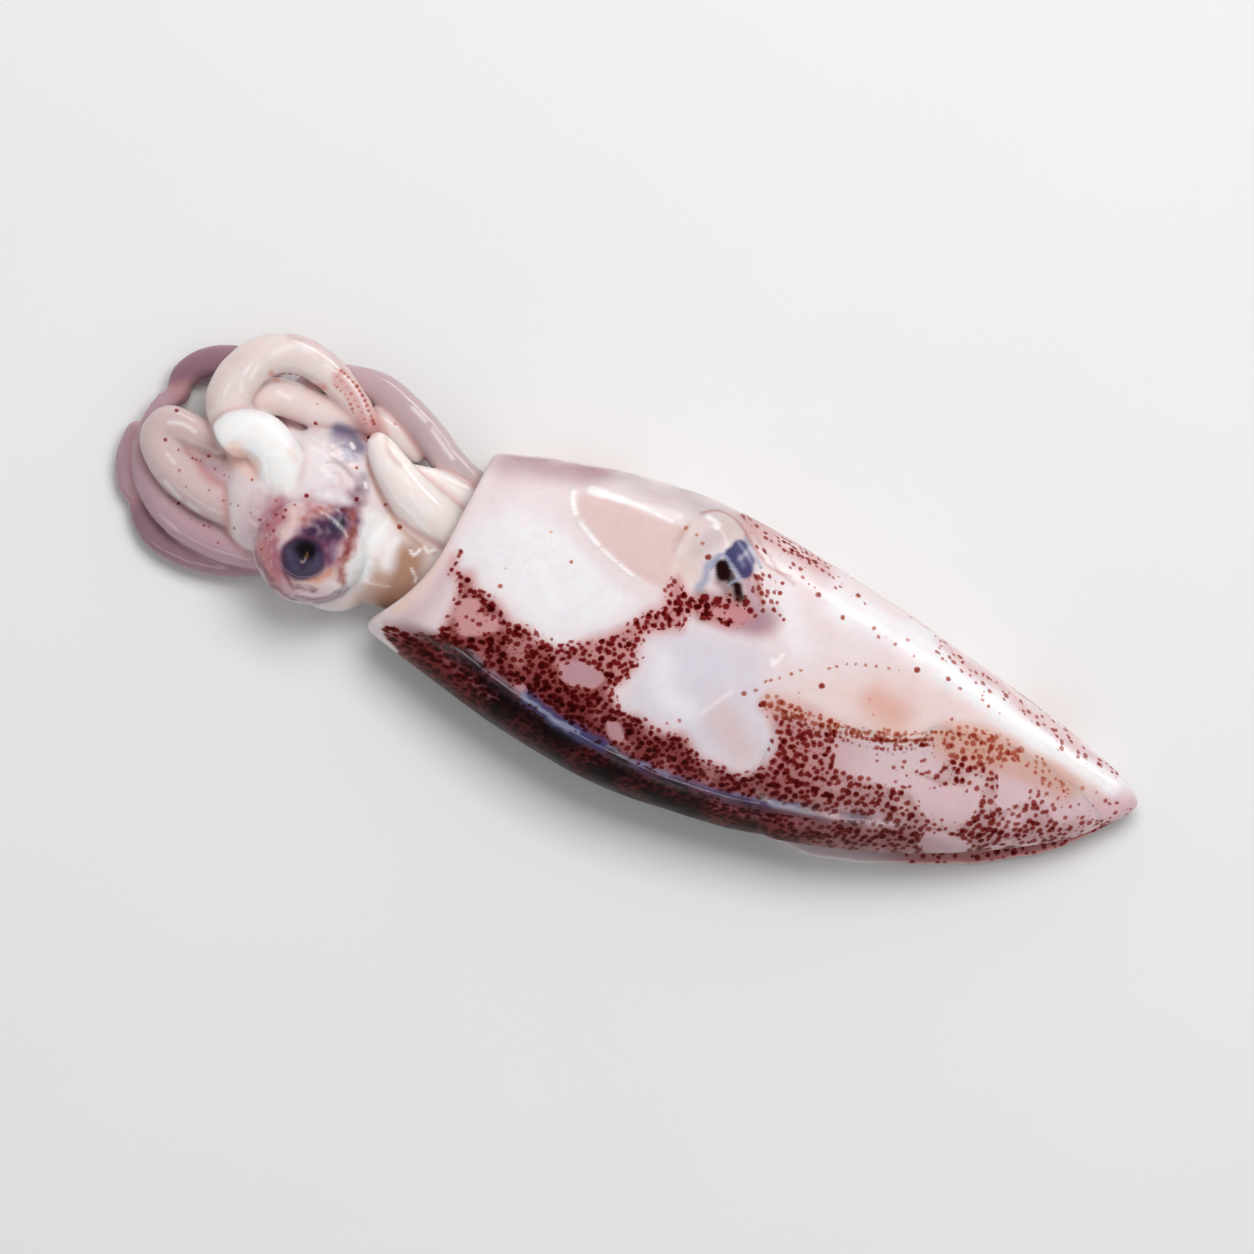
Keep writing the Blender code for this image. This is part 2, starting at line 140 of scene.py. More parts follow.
# Paint on the eyes: rosy skin round the rim, a painted highlight at the top, the smear beside the pupil, then
# iris, pupil and painted glints
EYE_STROKES = (
    ("lilac", 0.5, 1.8, 3, ((-50.6, 0), (-50.6, -4.6), (-48.4, -8))),
    ("rose", 0.95, 1.7, 2.4, ((-48.2, -0.6), (-48.4, -4), (-47.2, -7.4), (-44.6, -9.4))),
    ("rosy", 0.6, 0.7, 1.4, ((-49.2, -5.6), (-47.8, -8), (-45.8, -9.6))),
    ("rose", 0.6, 1.6, 2.6, ((-46.6, -1.4), (-44.6, 1.2), (-42.4, 3), (-40.4, 3.4))),
    # Painted highlight at the top of the eye
    ("white", 0.8, 0.8, 1.6, ((-44.2, 3.2), (-42, 3.8), (-40.8, 3.6))),
    ("gleam", 0.95, 2, 2.2, ((-36.8, 1.6), (-36.2, -1.4), (-36.6, -4.6), (-37.6, -7))),
    ("pink", 0.6, 1.2, 2.2, ((-44, -9.6), (-40.4, -9.4), (-38.4, -8))),
    ("peach", 0.7, 1, 1.8, ((-46.8, 0), (-46.2, -1.6), (-47, -3.2))),
    ("rose", 0.75, 1, 1.8, ((-39.2, 2), (-38.8, -2), (-38.8, -5.4))),
    ("peach", 0.8, 0.9, 1.4, ((-42.4, -8.4), (-40.6, -7.6), (-39.4, -6))),
    ("orange", 0.8, 0.5, 1, ((-41.6, -7.8), (-40.4, -7), (-39.6, -6))),
    ("rust", 0.7, 0.7, 1.4, ((-44.9, -1), (-43.6, 0.6), (-42.2, 1.6))),
    ("rust", 0.6, 0.3, 0.6, ((-43.8, 1.5), (-42.9, 1.2), (-42.4, 0.6))),
    ("violet", 0.95, 2, 1.8, ((-43.4, -2.8), (-41.7, -0.9), (-40, 1))),
    ("violet", 0.8, 1.3, 1.6, ((-41, -2.4), (-40.5, -4.4))),
    ("navy", 0.85, 1.3, 1.8, ((-43.4, -2.6), (-42, -1), (-40.7, 0.2))),
    ("mist", 0.2, 0.4, 0.8, ((-41, 0.6), (-40.4, 1.4))),
    # Painted highlight on the eye's right side
    ("mist", 0.35, 0.3, 0.8, ((-39.9, -3.2), (-39.7, -3.8))),
    ("ink", 0.75, 0.16, 0.4, ((-40.2, 1.6), (-40.1, 0.2))),
    ("wine", 0.8, 0.3, 0.6, ((-40.6, 2.6), (-39.8, 2.7))),
    ("rust", 0.75, 0.45, 0.9, ((-39.6, 2.4), (-38.8, 0.2), (-38.5, -1.8), (-38.3, -4), (-37.8, -6.6))),
    ("wine", 0.55, 0.25, 0.6, ((-38.9, 0.4), (-38.6, -1.6), (-38.7, -3.6))),
    ("rust", 0.6, 0.3, 0.8, ((-37.9, -5.6), (-37.5, -6.9))),
    ("plum", 1, 2.95, 1, ((-43.6, -5.5), (-43.2, -5.2))),
    ("navy", 1, 2.5, 0.9, ((-43.6, -5.5), (-43.2, -5.2))),
    ("mist", 0.11, 0.7, 1.5, ((-45.1, -5), (-44.7, -6.4), (-43.2, -7.1), (-41.8, -6.3), (-41.3, -4.8))),
    ("ink", 1, 1.15, 0.8, ((-43.5, -4.4), (-43.3, -4.4))),
    # Painted glints in the pupil: gold, then a pale one in the shell colour
    ("gold", 0.7, 0.18, 0.5, ((-43.3, -4.8), (-43.1, -5.4))),
    ("shell", 0.5, 0.1, 0.3, ((-43.6, -5.8), (-43.2, -5.6))),
    ("wine", 0.6, 0.22, 0.6, ((-44.9, -8.4), (-43.2, -9.2), (-40.6, -8.8))),
    ("plum", 0.7, 0.35, 0.8, ((-49.4, -7), (-46.2, -9.9), (-42.3, -10.8), (-38.7, -9.5), (-36.6, -7))),
    ("plum", 0.55, 0.9, 1.4, ((-40, 5), (-39.2, 4))),
)

# Head: (middle), (half length, half width, half height)
HEAD_FORMS = {
    "skull": ((-43.4, 2.6, 8.3), (10.2, 9.6, 8.0)),
    "crown": ((-50.5, 1.6, 8.2), (6.6, 8.6, 7.6)),
    "neck": ((-33.5, -0.2, 7.9), (12.5, 7.9, 6.0)),
    "nape": ((-39.4, -3.2, 7.2), (6.6, 7.7, 6.6)),
    "right_bulge": ((-43.0, -3.2, 10.4), (8.0, 8.0, 8.0)),
    "left_bulge": ((-43.8, 7.2, 6.2), (5.9, 5.9, 5.9)),
    "curl_tip": ((-54.4, 3.6, 10.6), (3.0, 2.4, 2.2)),
    "web": ((-57.0, 1.0, 8.8), (3.8, 2.7, 2.5)),
    "fold": ((-61.6, 2.0, 6.6), (3.6, 2.4, 2.3)),
}
FUNNEL = (
    ((-22.5, 4.0, 8.6), (-27.0, 4.6, 10.2), (-31.5, 6.2, 12.0), (-35.5, 8.6, 13.6), (-38.6, 11.2, 14.4),
     (-39.6, 12.1, 14.7)),
    (2.6, 3.4, 3.3, 2.8, 2.0, 1.4),
)
FUNNEL_STRAND = (
    ((-22.5, 8.6, 8.0), (-26.5, 9.3, 9.2), (-31.0, 9.8, 10.4), (-35.4, 10.2, 11.2)),
    (2.2, 2.3, 1.8, 0.8),
)

# Arms and tentacles: points from the crown to the tip, radius at each end, and the side that the suckers face
ARMS = {
    "arch_over_top": (
        ((-50.5, 3.5, 7.5), (-56, 6.5, 9.6), (-59.7, 10, 11), (-59.6, 14, 11.6), (-57.2, 17.8, 11.8),
         (-53.2, 19.3, 11.6), (-49.2, 18.6, 11), (-45.6, 16.8, 10.2), (-42.4, 14.6, 9.4), (-40.4, 13, 8.8)),
        3.2, 1.4, (0.2, -0.6, -0.8),
    ),
    "curl_in_front": (
        ((-48.6, -0.6, 10.4), (-49.8, 3, 12.8), (-51.6, 6, 14), (-54.4, 7.6, 14.3), (-57, 6.9, 13.9),
         (-58.4, 5.2, 13.1)),
        3.5, 2.9, (0.6, -0.3, -0.7),
    ),
    "under_arch": (
        ((-51.5, 6, 6), (-56, 8.6, 7), (-57, 11.6, 7.6), (-54, 13.3, 8), (-49, 13.4, 8.4),
         (-44.5, 13.9, 8.6), (-40.6, 14.4, 8), (-36.6, 13.2, 7.4), (-33.4, 11.8, 7)),
        2.7, 1.2, (0.0, -0.4, -1.0),
    ),
    "folded_back": (
        ((-48.5, -2.2, 8.8), (-54, -2.2, 9), (-59.5, -1.6, 8.6), (-64, 0, 8), (-66.8, 2.6, 7.6),
         (-66.2, 5, 7.8), (-63.2, 5.2, 8.2), (-60, 4.9, 8.6), (-57, 4.4, 8.8)),
        3, 1.8, (0.1, 0.5, -0.9),
    ),
    "lower_outer": (
        ((-46.5, -5.4, 6.4), (-52, -6.9, 6.2), (-57.2, -7, 5.8), (-61.4, -6, 5.4), (-65, -3.8, 4.8),
         (-67.4, -0.8, 4.2), (-68.3, 3.2, 3.8), (-67.8, 7.4, 3.4), (-65.6, 10.4, 3)),
        2.6, 1.1, (0.2, 0.9, -0.4),
    ),
    "far_side": (
        ((-48.4, 6.6, 4.4), (-53.6, 12, 3.4), (-59, 15.4, 2.8), (-64, 14.6, 2.8), (-66.8, 11.4, 2.7),
         (-66, 7.8, 2.4)),
        2.7, 1.3, (0.3, -0.8, -0.6),
    ),
    "near_floor": (
        ((-45, -4.6, 4), (-51, -8.2, 3.2), (-57, -9.8, 2.7), (-62.6, -9.4, 2.4), (-66, -6.8, 2.2),
         (-67.2, -3.4, 2)),
        2.5, 1.1, (0.2, 0.8, -0.6),
    ),
    "underneath": (
        ((-48, 1, 4.2), (-54, 2.6, 3.4), (-60, 2.2, 2.8), (-64.6, -0.8, 2.4)),
        2.6, 1.2, (0.0, 0.2, 1.0),
    ),
    "tentacle_to_collar": (
        ((-48, 8, 5.2), (-51.4, 12.6, 5), (-49.4, 17, 5.2), (-45, 18.6, 5.8), (-41, 18.6, 6.4),
         (-37.4, 17.3, 7), (-33.8, 15.4, 7.6), (-30.4, 13.2, 8), (-27, 11.4, 8.1), (-23, 10, 8)),
        2.2, 2.3, None,
    ),
    "tentacle_on_floor": (
        ((-48.6, -1, 3.8), (-54, -1.6, 2.8), (-59.8, -3.2, 2.2), (-64.4, -4.9, 2), (-67.6, -4.6, 2),
         (-69.4, -2.2, 2), (-69.8, 1, 2.2), (-69.4, 4, 2.2)),
        1.7, 1.9, (0.6, 0.2, -0.6),
    ),
}
ARM_TAPER = 2.2
# Share of an arm's length that is rounded off at its tip
ARM_TIP = 0.05
# How far one form's colour runs into the next
FORM_BLEND = 0.35

# Colours of the flesh: each form's own, or an arm's at its root and its tip
FORM_TONES = {
    "skull": "cream", "crown": "cream", "neck": "ivory", "nape": "ivory", "right_bulge": "cream",
    "left_bulge": "pearl", "curl_tip": "peach", "web": "mauve", "fold": "mauve",
}
# The lowest arms take the blush tone, and far_side and near_floor darken to plum at their tips: their own
# pink with painted shade
ARM_TONES = {
    "arch_over_top": ("ivory", "ivory"),
    "curl_in_front": ("white", "white"),
    "under_arch": ("ivory", "ivory"),
    "folded_back": ("shell", "shell"),
    "lower_outer": ("mauve", "mauve"),
    "far_side": ("blush_and_low_shade", "plum"),
    "near_floor": ("blush_and_low_shade", "plum"),
    "underneath": ("blush_and_low_shade", "blush_and_low_shade"),
    "tentacle_to_collar": ("mauve", "dusk"),
    "tentacle_on_floor": ("blush_and_low_shade", "mauve"),
}
FUNNEL_TONE = "milky"
# Paint on the head and arms
HEAD_STROKES = (
    ("gleam", 1, 2.6, 2.6, ((-57.4, 6.8), (-54, 8), (-51.4, 6), (-49.8, 2.6))),
    ("lilac", 0.45, 0.6, 1.4, ((-55, 21.2), (-51, 21.6), (-47.4, 20))),
    ("peach", 0.6, 0.6, 1.2, ((-61.8, 9), (-61.6, 14), (-58.8, 18.6))),
    ("rosy", 0.6, 1.3, 1, ((-47, 18.4), (-44.4, 16.8), (-42.2, 14.8), (-41.2, 13.6))),
    ("white", 0.5, 0.2, 0.4, ((-47, 18.9), (-44.4, 17.3), (-42, 15))),
    ("peach", 0.7, 1.4, 1.6, ((-50, 15.8), (-47.6, 15.8), (-45, 14.6))),
    ("orange", 0.75, 0.35, 0.6, ((-50.6, 15.9), (-49.6, 16.2), (-48.7, 16.5))),
    ("orange", 0.75, 0.35, 0.6, ((-55.9, 15.8), (-55, 15.3))),
    ("white", 0.4, 2.4, 2.6, ((-48, 9), (-46, 7), (-45.2, 5.6))),
    ("brown", 0.25, 0.16, 0.4, ((-45.6, 9.4), (-44, 8.8), (-42.6, 9.2))),
    ("brown", 0.25, 0.16, 0.4, ((-45, 7.4), (-43.2, 7.8), (-41.4, 6.8))),
    ("brown", 0.2, 0.14, 0.4, ((-44.6, 6), (-43, 6.6), (-42.2, 5.6))),
    ("sandy", 0.5, 0.4, 1, ((-49.8, 7.2), (-49, 6.4))),
    ("mist", 0.6, 1.2, 1.8, ((-45, 11.4), (-43.4, 11.2), (-42.2, 10))),
    ("slate", 0.65, 0.7, 1.4, ((-45.2, 12), (-43.2, 12), (-41.6, 10.8))),
    ("slate", 0.45, 0.7, 1.2, ((-39.8, 7.2), (-39.2, 5.8))),
    ("mist", 0.6, 0.5, 0.8, ((-43.4, 10.2), (-42.6, 8.8))),
    ("violet", 0.3, 1.2, 2, ((-44.4, 11.2), (-42.4, 10.2))),
    ("plum", 0.3, 0.3, 0.6, ((-44.4, 8.2), (-42.4, 7.6), (-40.6, 6.6), (-39.8, 4.8))),
    ("tan", 0.6, 0.3, 0.7, ((-39.8, 9), (-38, 6.8), (-35.9, 4.9), (-33.1, 2.8), (-30, 1.6), (-27.6, 1.2))),
    ("tan", 0.4, 0.3, 0.9, ((-38.8, 13), (-37.4, 11.2), (-35.8, 10.4))),
    ("sandy", 0.7, 1.4, 2.6, ((-34.6, -1.6), (-33.8, -4.4), (-34.6, -8))),
    ("tan", 0.5, 2, 3.2, ((-34.4, -4), (-33, -6.8))),
    ("tan", 0.9, 2.2, 3.2, ((-30.6, -0.8), (-30.2, -3.6), (-30.8, -6.8))),
    ("white", 0.75, 1, 1.8, ((-34.8, 1.4), (-33.4, -0.4), (-33, -2.4))),
    ("glow", 0.9, 1.2, 1.6, ((-56.8, 4.6), (-55.4, 3.8), (-54, 3.4))),
    ("peach", 0.55, 0.5, 1.2, ((-62.6, 3.4), (-60.4, 2.6), (-58.2, 2.8))),
    ("peach", 0.55, 0.5, 1.2, ((-57, 12.6), (-54, 11.6), (-50, 11.4))),
)
# Painted highlights on wet edges of the head and arms, in the gleam colour: strokes without a colour
HEAD_PAINTED_HIGHLIGHTS = (
    (0.8, 0.16, 0.4, ((-58.7, 16), (-59.1, 14.4))),
    (0.7, 0.16, 0.4, ((-59, 13.4), (-58.6, 12.2))),
    (0.7, 0.16, 0.4, ((-57.7, 16.2), (-58.1, 14.2))),
    (0.5, 0.35, 1, ((-56.4, 18.4), (-54.2, 20.2), (-52, 20.4))),
    (0.6, 0.14, 0.3, ((-60.4, 12.6), (-60.6, 11))),
    (0.6, 0.14, 0.3, ((-49.6, 19.4), (-47.8, 18.9))),
    (0.5, 0.18, 0.4, ((-64.2, -2.2), (-61.6, -3.6))),
    (0.5, 0.16, 0.4, ((-60.2, -3.9), (-58.6, -4.4))),
    (0.5, 0.16, 0.4, ((-63.4, -6.6), (-60.6, -7.6))),
    (0.5, 0.18, 0.4, ((-35.2, 9.4), (-33.8, 8.4))),
    (0.6, 0.12, 0.3, ((-30.6, 6.8), (-29.8, 6))),
    (0.5, 0.14, 0.3, ((-36, 6.6), (-35, 5.6))),
    (0.7, 0.3, 0.6, ((-45.2, 6.4), (-44, 6))),
    (0.7, 0.2, 0.4, ((-47.4, 8.6), (-46.2, 8.4))),
    (0.6, 0.3, 0.6, ((-54.2, 13.8), (-52.4, 13.6))),
    (0.6, 0.2, 0.5, ((-66.2, 5.2), (-64.4, 5.6), (-62.6, 5.2))),
    (0.5, 0.16, 0.4, ((-65, 1.2), (-63.6, 0.4))),
    (0.6, 0.25, 0.5, ((-37.4, 10.4), (-37.1, 9.4))),
    (0.45, 0.2, 0.6, ((-33.2, 7.2), (-31, 5.9))),
    (0.55, 0.2, 0.5, ((-28.6, 10.2), (-25.6, 9.2))),
    (0.6, 0.22, 0.5, ((-37, 18), (-34.8, 17))),
    (0.6, 0.22, 0.5, ((-33.6, 16.2), (-29.8, 13.6))),
    (0.7, 0.5, 1, ((-32.9, 1), (-33.4, -0.8), (-33.2, -2.4))),
    (0.9, 0.2, 0.3, ((-30.7, 0.4), (-30.1, 0), (-29.6, 0.9))),
    (0.9, 0.2, 0.3, ((-29.2, 1.5), (-28.5, 1.1), (-27.8, 1.6))),
    (0.8, 0.16, 0.3, ((-29.8, -1.8), (-29.2, -2.3))),
    (0.8, 0.16, 0.3, ((-28.9, -2.6), (-28.7, -3.2))),
    (0.9, 0.2, 0.3, ((-39.3, 6.6), (-39, 6.1))),
    (0.9, 0.22, 0.3, ((-42.8, 10.8), (-42.4, 10.4))),
    (0.6, 0.2, 0.4, ((-49.8, 1.3), (-49.3, 1.1))),
)
# Single spots, (x, y, radius, how warm its colour is), and rows of them, (number, radius, how warm, points)
HEAD_MARKS = (
    (-48.2, 11.7, 0.36, 0), (-41, 12.4, 0.32, 0), (-45.8, 2.4, 0.36, 0), (-39.6, 4.2, 0.34, 0),
    (-35.8, 4.9, 0.3, 0.2), (-33.1, 2.8, 0.34, 0.3), (-65.8, 7, 0.3, 0), (-65.9, 2.8, 0.3, 0.2),
    (-61.4, -4.4, 0.26, 0.1), (-41, 8.1, 0.28, 0.3), (-59.8, 2.8, 0.28, 0.4), (-53.3, 1.9, 0.22, 0.9),
    (-58.2, -1.3, 0.26, 0.5), (-50.5, -2.7, 0.26, 0.6), (-52, -2.2, 0.3, 0.8), (-48.8, -1.3, 0.3, 0.5),
    (-53.4, -4.8, 0.26, 0.7), (-54.8, -7.4, 0.26, 0.9), (-62.8, -0.3, 0.24, 0.8), (-61.2, -2, 0.2, 0.9),
    (-38.4, 15.2, 0.28, 0.9), (-48.8, 14.2, 0.2, 0.8), (-47.8, -0.3, 0.28, 0.4), (-47.7, -1.3, 0.24, 0.5),
    (-48.3, -3.4, 0.26, 0.6), (-49.3, -3, 0.2, 0.7), (-47.4, -4.2, 0.16, 0.8), (-48, -5.6, 0.18, 0.8),
    (-48.9, -4.6, 0.16, 0.8), (-41, 2.2, 0.26, 0.2), (-49.6, -1.8, 0.16, 0.7), (-50.2, -3.8, 0.15, 0.7),
    (-49, -6.2, 0.16, 0.7), (-47.6, -7, 0.14, 0.8), (-46.9, 0.8, 0.18, 0.6), (-49.4, 0.4, 0.16, 0.7),
)
HEAD_ROWS = (
    (13, 0.27, 0.5, ((-47.4, 19.3), (-44.8, 18.1), (-42.7, 16.2), (-41, 14.3))),
    (9, 0.19, 0.9, ((-47.6, 18.4), (-45.4, 17.1), (-43.4, 15.5), (-42, 13.9))),
    (8, 0.24, 0.9, ((-47.6, 17.3), (-45.6, 16.3), (-44, 14.7))),
    (4, 0.22, 0.6, ((-56.8, -1.9), (-55.4, -2), (-53.9, -1.9))),
    (4, 0.2, 0.8, ((-59.2, -5.8), (-57.8, -5.9), (-56.6, -5.9))),
    (4, 0.18, 0.6, ((-58.4, 1.5), (-57.4, 1.3), (-56.4, 1.2))),
    (4, 0.2, 0.4, ((-61.8, 1.8), (-60.9, 1.8), (-60.2, 1.7))),
    (3, 0.2, 0.7, ((-65, 1.8), (-64.6, 2.2), (-63.9, 2.2))),
)

# Skin, seen from above. This outline holds the skin that is thick with pigment spots.
DOTTED_SKIN = (
    (-31.2, -9.7), (-28.5, -9.3), (-25.4, -9), (-23.8, -7.6), (-23.5, -4), (-24, -1.6), (-25.4, -0.4),
    (-25.3, 2.3), (-24.2, 2.3), (-23.6, 0.4), (-21.8, 0.4), (-20.4, -0.8), (-18, -1.1), (-16.4, -2.4),
    (-15, -3.2), (-12.6, -3.1), (-10.6, -4), (-8.4, -4.2), (-6.6, -3.4), (-4.4, -2), (-2.4, -0.6),
    (-0.6, 1.6), (0.8, 4), (2.4, 5.2), (2, 7.4), (3.2, 9.6), (5.2, 7.6), (9, 8.8), (12.2, 9.6), (14.4, 8.6),
    (12, 5.2), (6.8, 4.8), (6.3, 2.6), (4.6, 2.2), (2.2, 0.8), (1.9, -1.6), (2.4, -3.6), (1.6, -6),
    (0.6, -7.4), (2.6, -9.6), (5, -9.4), (8.6, -10.2), (11, -9.9), (14.2, -11.6), (18, -11.9), (20, -11.6),
    (21.4, -10.4), (22, -7.8), (21.6, -5.2), (20.4, -3.6), (18.4, -2.8), (19.6, -1), (24, -0.3), (29, -0.7),
    (34, -0.1), (38, 0.9), (42, 2.6), (45, 4), (49, 4.8), (54, 4), (58, 2.9), (63.5, 2), (68, 1.6),
    (72.5, 1), (76, -30), (-38, -30),
)
# Patches in it where the spots are thin, and where they are missing; strength is how many are missing
THIN_PLACES = (
    (0.6, 0.8, ((-22, -3), (-19.8, -2.8), (-18.6, -4), (-17.2, -3.6), (-16.6, -5.4), (-18.4, -7),
                (-20.6, -7.6), (-21.8, -6.4))),
    (0.75, 0.8, ((57, 0.2), (61, -0.6), (66, -1), (66.5, 1), (60, 0.8))),
    (0.85, 0.6, ((9, 6.2), (12, 6.2), (13.4, 7.2), (11.4, 8), (9.6, 7.4))),
)
BARE_PLACES = (
    (1, 0.9, ((-7, -6.8), (-5.6, -5.6), (-3, -5.5), (-1.4, -6.6), (-2.2, -8), (-4.6, -8.6), (-6.6, -8.2))),
    (0.9, 0.9, ((1, -11.6), (2.6, -11.4), (4, -12.8), (3.4, -13.6), (1.6, -13))),
    (0.8, 0.9, ((-12.2, -11.6), (-10.6, -11), (-9.8, -12.2), (-11.2, -12.8))),
    (0.9, 2.4, ((29.6, -3.6), (33, -3.2), (38, -3.9), (42.4, -4.6), (42.4, -6), (40, -6.4), (36, -7),
                (31, -6.4))),
    (0.95, 1.6, ((42.4, -4.6), (46, -4.4), (49.8, -3.8), (50.2, -6.4), (48.4, -8.4), (44.6, -8.5),
                 (42, -6.6))),
    (0.62, 1, ((29.5, -2.2), (36, -1.6), (41, -0.2), (43, 1), (44, -3), (40, -3.6), (31, -3))),
    (0.92, 0.8, ((51.5, 1.4), (54.6, 2.4), (56, 0.6), (55.6, -2.6), (53.4, -4.4), (52.2, -2.4))),
    (0.95, 0.8, ((45, -10.6), (48.6, -10), (51.4, -10.2), (49, -12.6), (45.4, -12.8))),
)
# The bare corner of the collar's rim
COLLAR_RIM = (1, 0.4, ((-36, -8.6), (-31.4, -9.3), (-30.2, -11.2), (-27.6, -12.9), (-28, -16), (-36, -14)))
# Thinly spotted places outside it: (density, half width, softness, points)
SPARSE_PLACES = (
    (0.6, 1, 1.6, ((10.5, 19), (17, 18.1), (22, 17))),
    (0.26, 1.2, 2.2, ((12, 16.4), (18, 15.8), (27, 15.2))),
    (0.38, 1, 1.2, ((38.5, 12.9), (47, 10.4), (56, 7.2), (66, 4.9))),
    (0.2, 0.8, 1.4, ((44, 9.6), (50, 8.2), (60, 5.4))),
    (0.4, 1.6, 1.4, ((12.6, 9), (14.6, 10.6), (13.6, 12.6))),
)
# Single spots and rows of them, as on the head
SKIN_MARKS = (
    (-10.5, 6.3, 0.3, 0.6), (-9.8, 5.2, 0.16, 1), (-14.3, 9, 0.22, 1), (-15.3, 9.1, 0.14, 1),
    (-18.2, 2.5, 0.26, 0.9), (-18.1, 0.1, 0.36, 0.5), (-20.3, 5.1, 0.14, 1), (-16, 4.2, 0.18, 1),
    (2, 15.6, 0.34, 1), (3.6, 15.2, 0.28, 1), (4.7, 14.4, 0.28, 1), (6, 13, 0.42, 0.2),
    (8.5, -9.2, 0.3, 0.7), (9.9, -8.2, 0.3, 0.6), (16.5, -2, 0.4, 0.7), (17.8, -1.1, 0.32, 0.6),
    (21.2, 13.5, 0.42, 0.1), (25.2, 11.7, 0.36, 0.3), (29.5, 11.9, 0.32, 0.5), (30.5, 11, 0.32, 0.3),
    (31.5, 11.3, 0.24, 0.6), (32.8, 10.9, 0.26, 0.5), (34.2, 12, 0.26, 0.5), (35.6, 10.3, 0.22, 0.6),
    (36.7, 8.7, 0.4, 0.1), (37, 13.1, 0.28, 0.3), (39.4, 11.2, 0.26, 0.4), (40.9, 9, 0.36, 0.4),
    (42, 11.8, 0.34, 0.2), (42.8, 8.4, 0.28, 0.3), (38.9, 5.6, 0.22, 0.8), (43.2, 4.3, 0.32, 0.4),
    (25.7, 2.4, 0.42, 0.1), (30.2, -4.2, 0.32, 0.4), (33.4, 1.2, 0.28, 1), (32.2, 3, 0.24, 1),
    (7.4, 7.9, 0.62, 0), (9.1, 8.1, 0.66, 0), (10.4, 7.8, 0.5, 0), (7, 6.5, 0.5, 0), (8.2, 5.6, 0.55, 0.1),
    (11.5, 6.2, 0.42, 0), (12.7, 9.3, 0.48, 0), (13.6, 8.4, 0.45, 0), (14.4, 7.9, 0.36, 0.1),
    (13, 12.8, 0.4, 0.4), (14.2, 11, 0.4, 0.2), (14.8, 10, 0.36, 0.2),
)
SKIN_ROWS = (
    (5, 0.27, 0.7, ((18.6, 0.4), (20.2, 1.5), (22.4, 3.4))),
    (8, 0.25, 0.6, ((25.8, 4.9), (28.2, 6.4), (31, 7.2), (34.4, 7.8))),
    (4, 0.32, 0, ((16.3, 13.2), (16.5, 11.2), (16.4, 9.6))),
    (3, 0.24, 0.1, ((16.6, 9.5), (18.1, 8.8))),
    (3, 0.2, 0.7, ((22.6, 2.4), (23.4, 1.4), (23.2, 0.6))),
    (4, 0.26, 0.5, ((46, 8.6), (46.4, 7.7), (48.9, 7.2))),
    (36, 0.27, 0.6, ((23, -1.5), (30.6, -1.6), (36.6, -0.4), (42, 2), (47.6, 3.5))),
    (29, 0.31, 0.4, ((22, -2.3), (30.4, -2.4), (36.4, -1.2), (41.6, 0.9))),
    (17, 0.24, 0.3, ((26, -3.2), (34, -3), (40, -1))),
    (13, 0.26, 0.7, ((47, 3), (52, 2.6), (57, 1.2), (61, 0.4))),
)
# Edge of the near fin, where the spots are warm, and the glow beside it: strokes without a colour
FIN_EDGE_LINE = (0.9, 1.3, 1.6, ((20, -1.6), (30, -1.4), (36, 0.2), (44, 2.2), (49, 3.6), (54, 3), (64, 1.6)))
FIN_GLOWS = (
    (0.8, 1.9, 3.6, ((33, 2.6), (36, 2.2))),
    (0.8, 2.2, 2.8, ((44, 0.8), (50, 2.2), (60, 1.4))),
)
# Colours of bare skin, as patches with a colour before the rest, then as strokes; among the strokes are
# painted highlights and painted shade
SKIN_PATCHES = (
    ("beige", 0.85, 1.2, ((-13, 14.9), (-12.2, 12.6), (-10.2, 10.8), (-6, 8.7), (-2, 7.4), (1.6, 7.4),
                          (2.2, 10.4), (1.6, 13), (2, 15.4), (-4, 15.6), (-9.6, 15.8))),
    ("white", 1, 5, ((-24, 2.6), (-23.4, 8), (-19, 11), (-13, 10.6), (-8.4, 8.6), (-3.6, 6.4),
                     (-0.4, 4.4), (-1.8, 0.6), (-5, -2.4), (-9, -4), (-14, -3), (-18, -0.6),
                     (-21.4, 0.6))),
    ("pearl", 1, 4, ((3, 1.2), (7, 3.6), (12, 4.2), (17, 3.4), (18.4, -1), (21.6, -5.6), (24, -8.6),
                     (20, -10.6), (14.6, -11.4), (9, -9.8), (3.4, -9), (2.6, -4))),
    ("peach", 0.75, 6, ((22, 1.4), (28, 5), (36, 8.6), (45, 7.8), (52, 5.6), (45, 4.6), (38, 1.6),
                        (30, 0.2))),
)
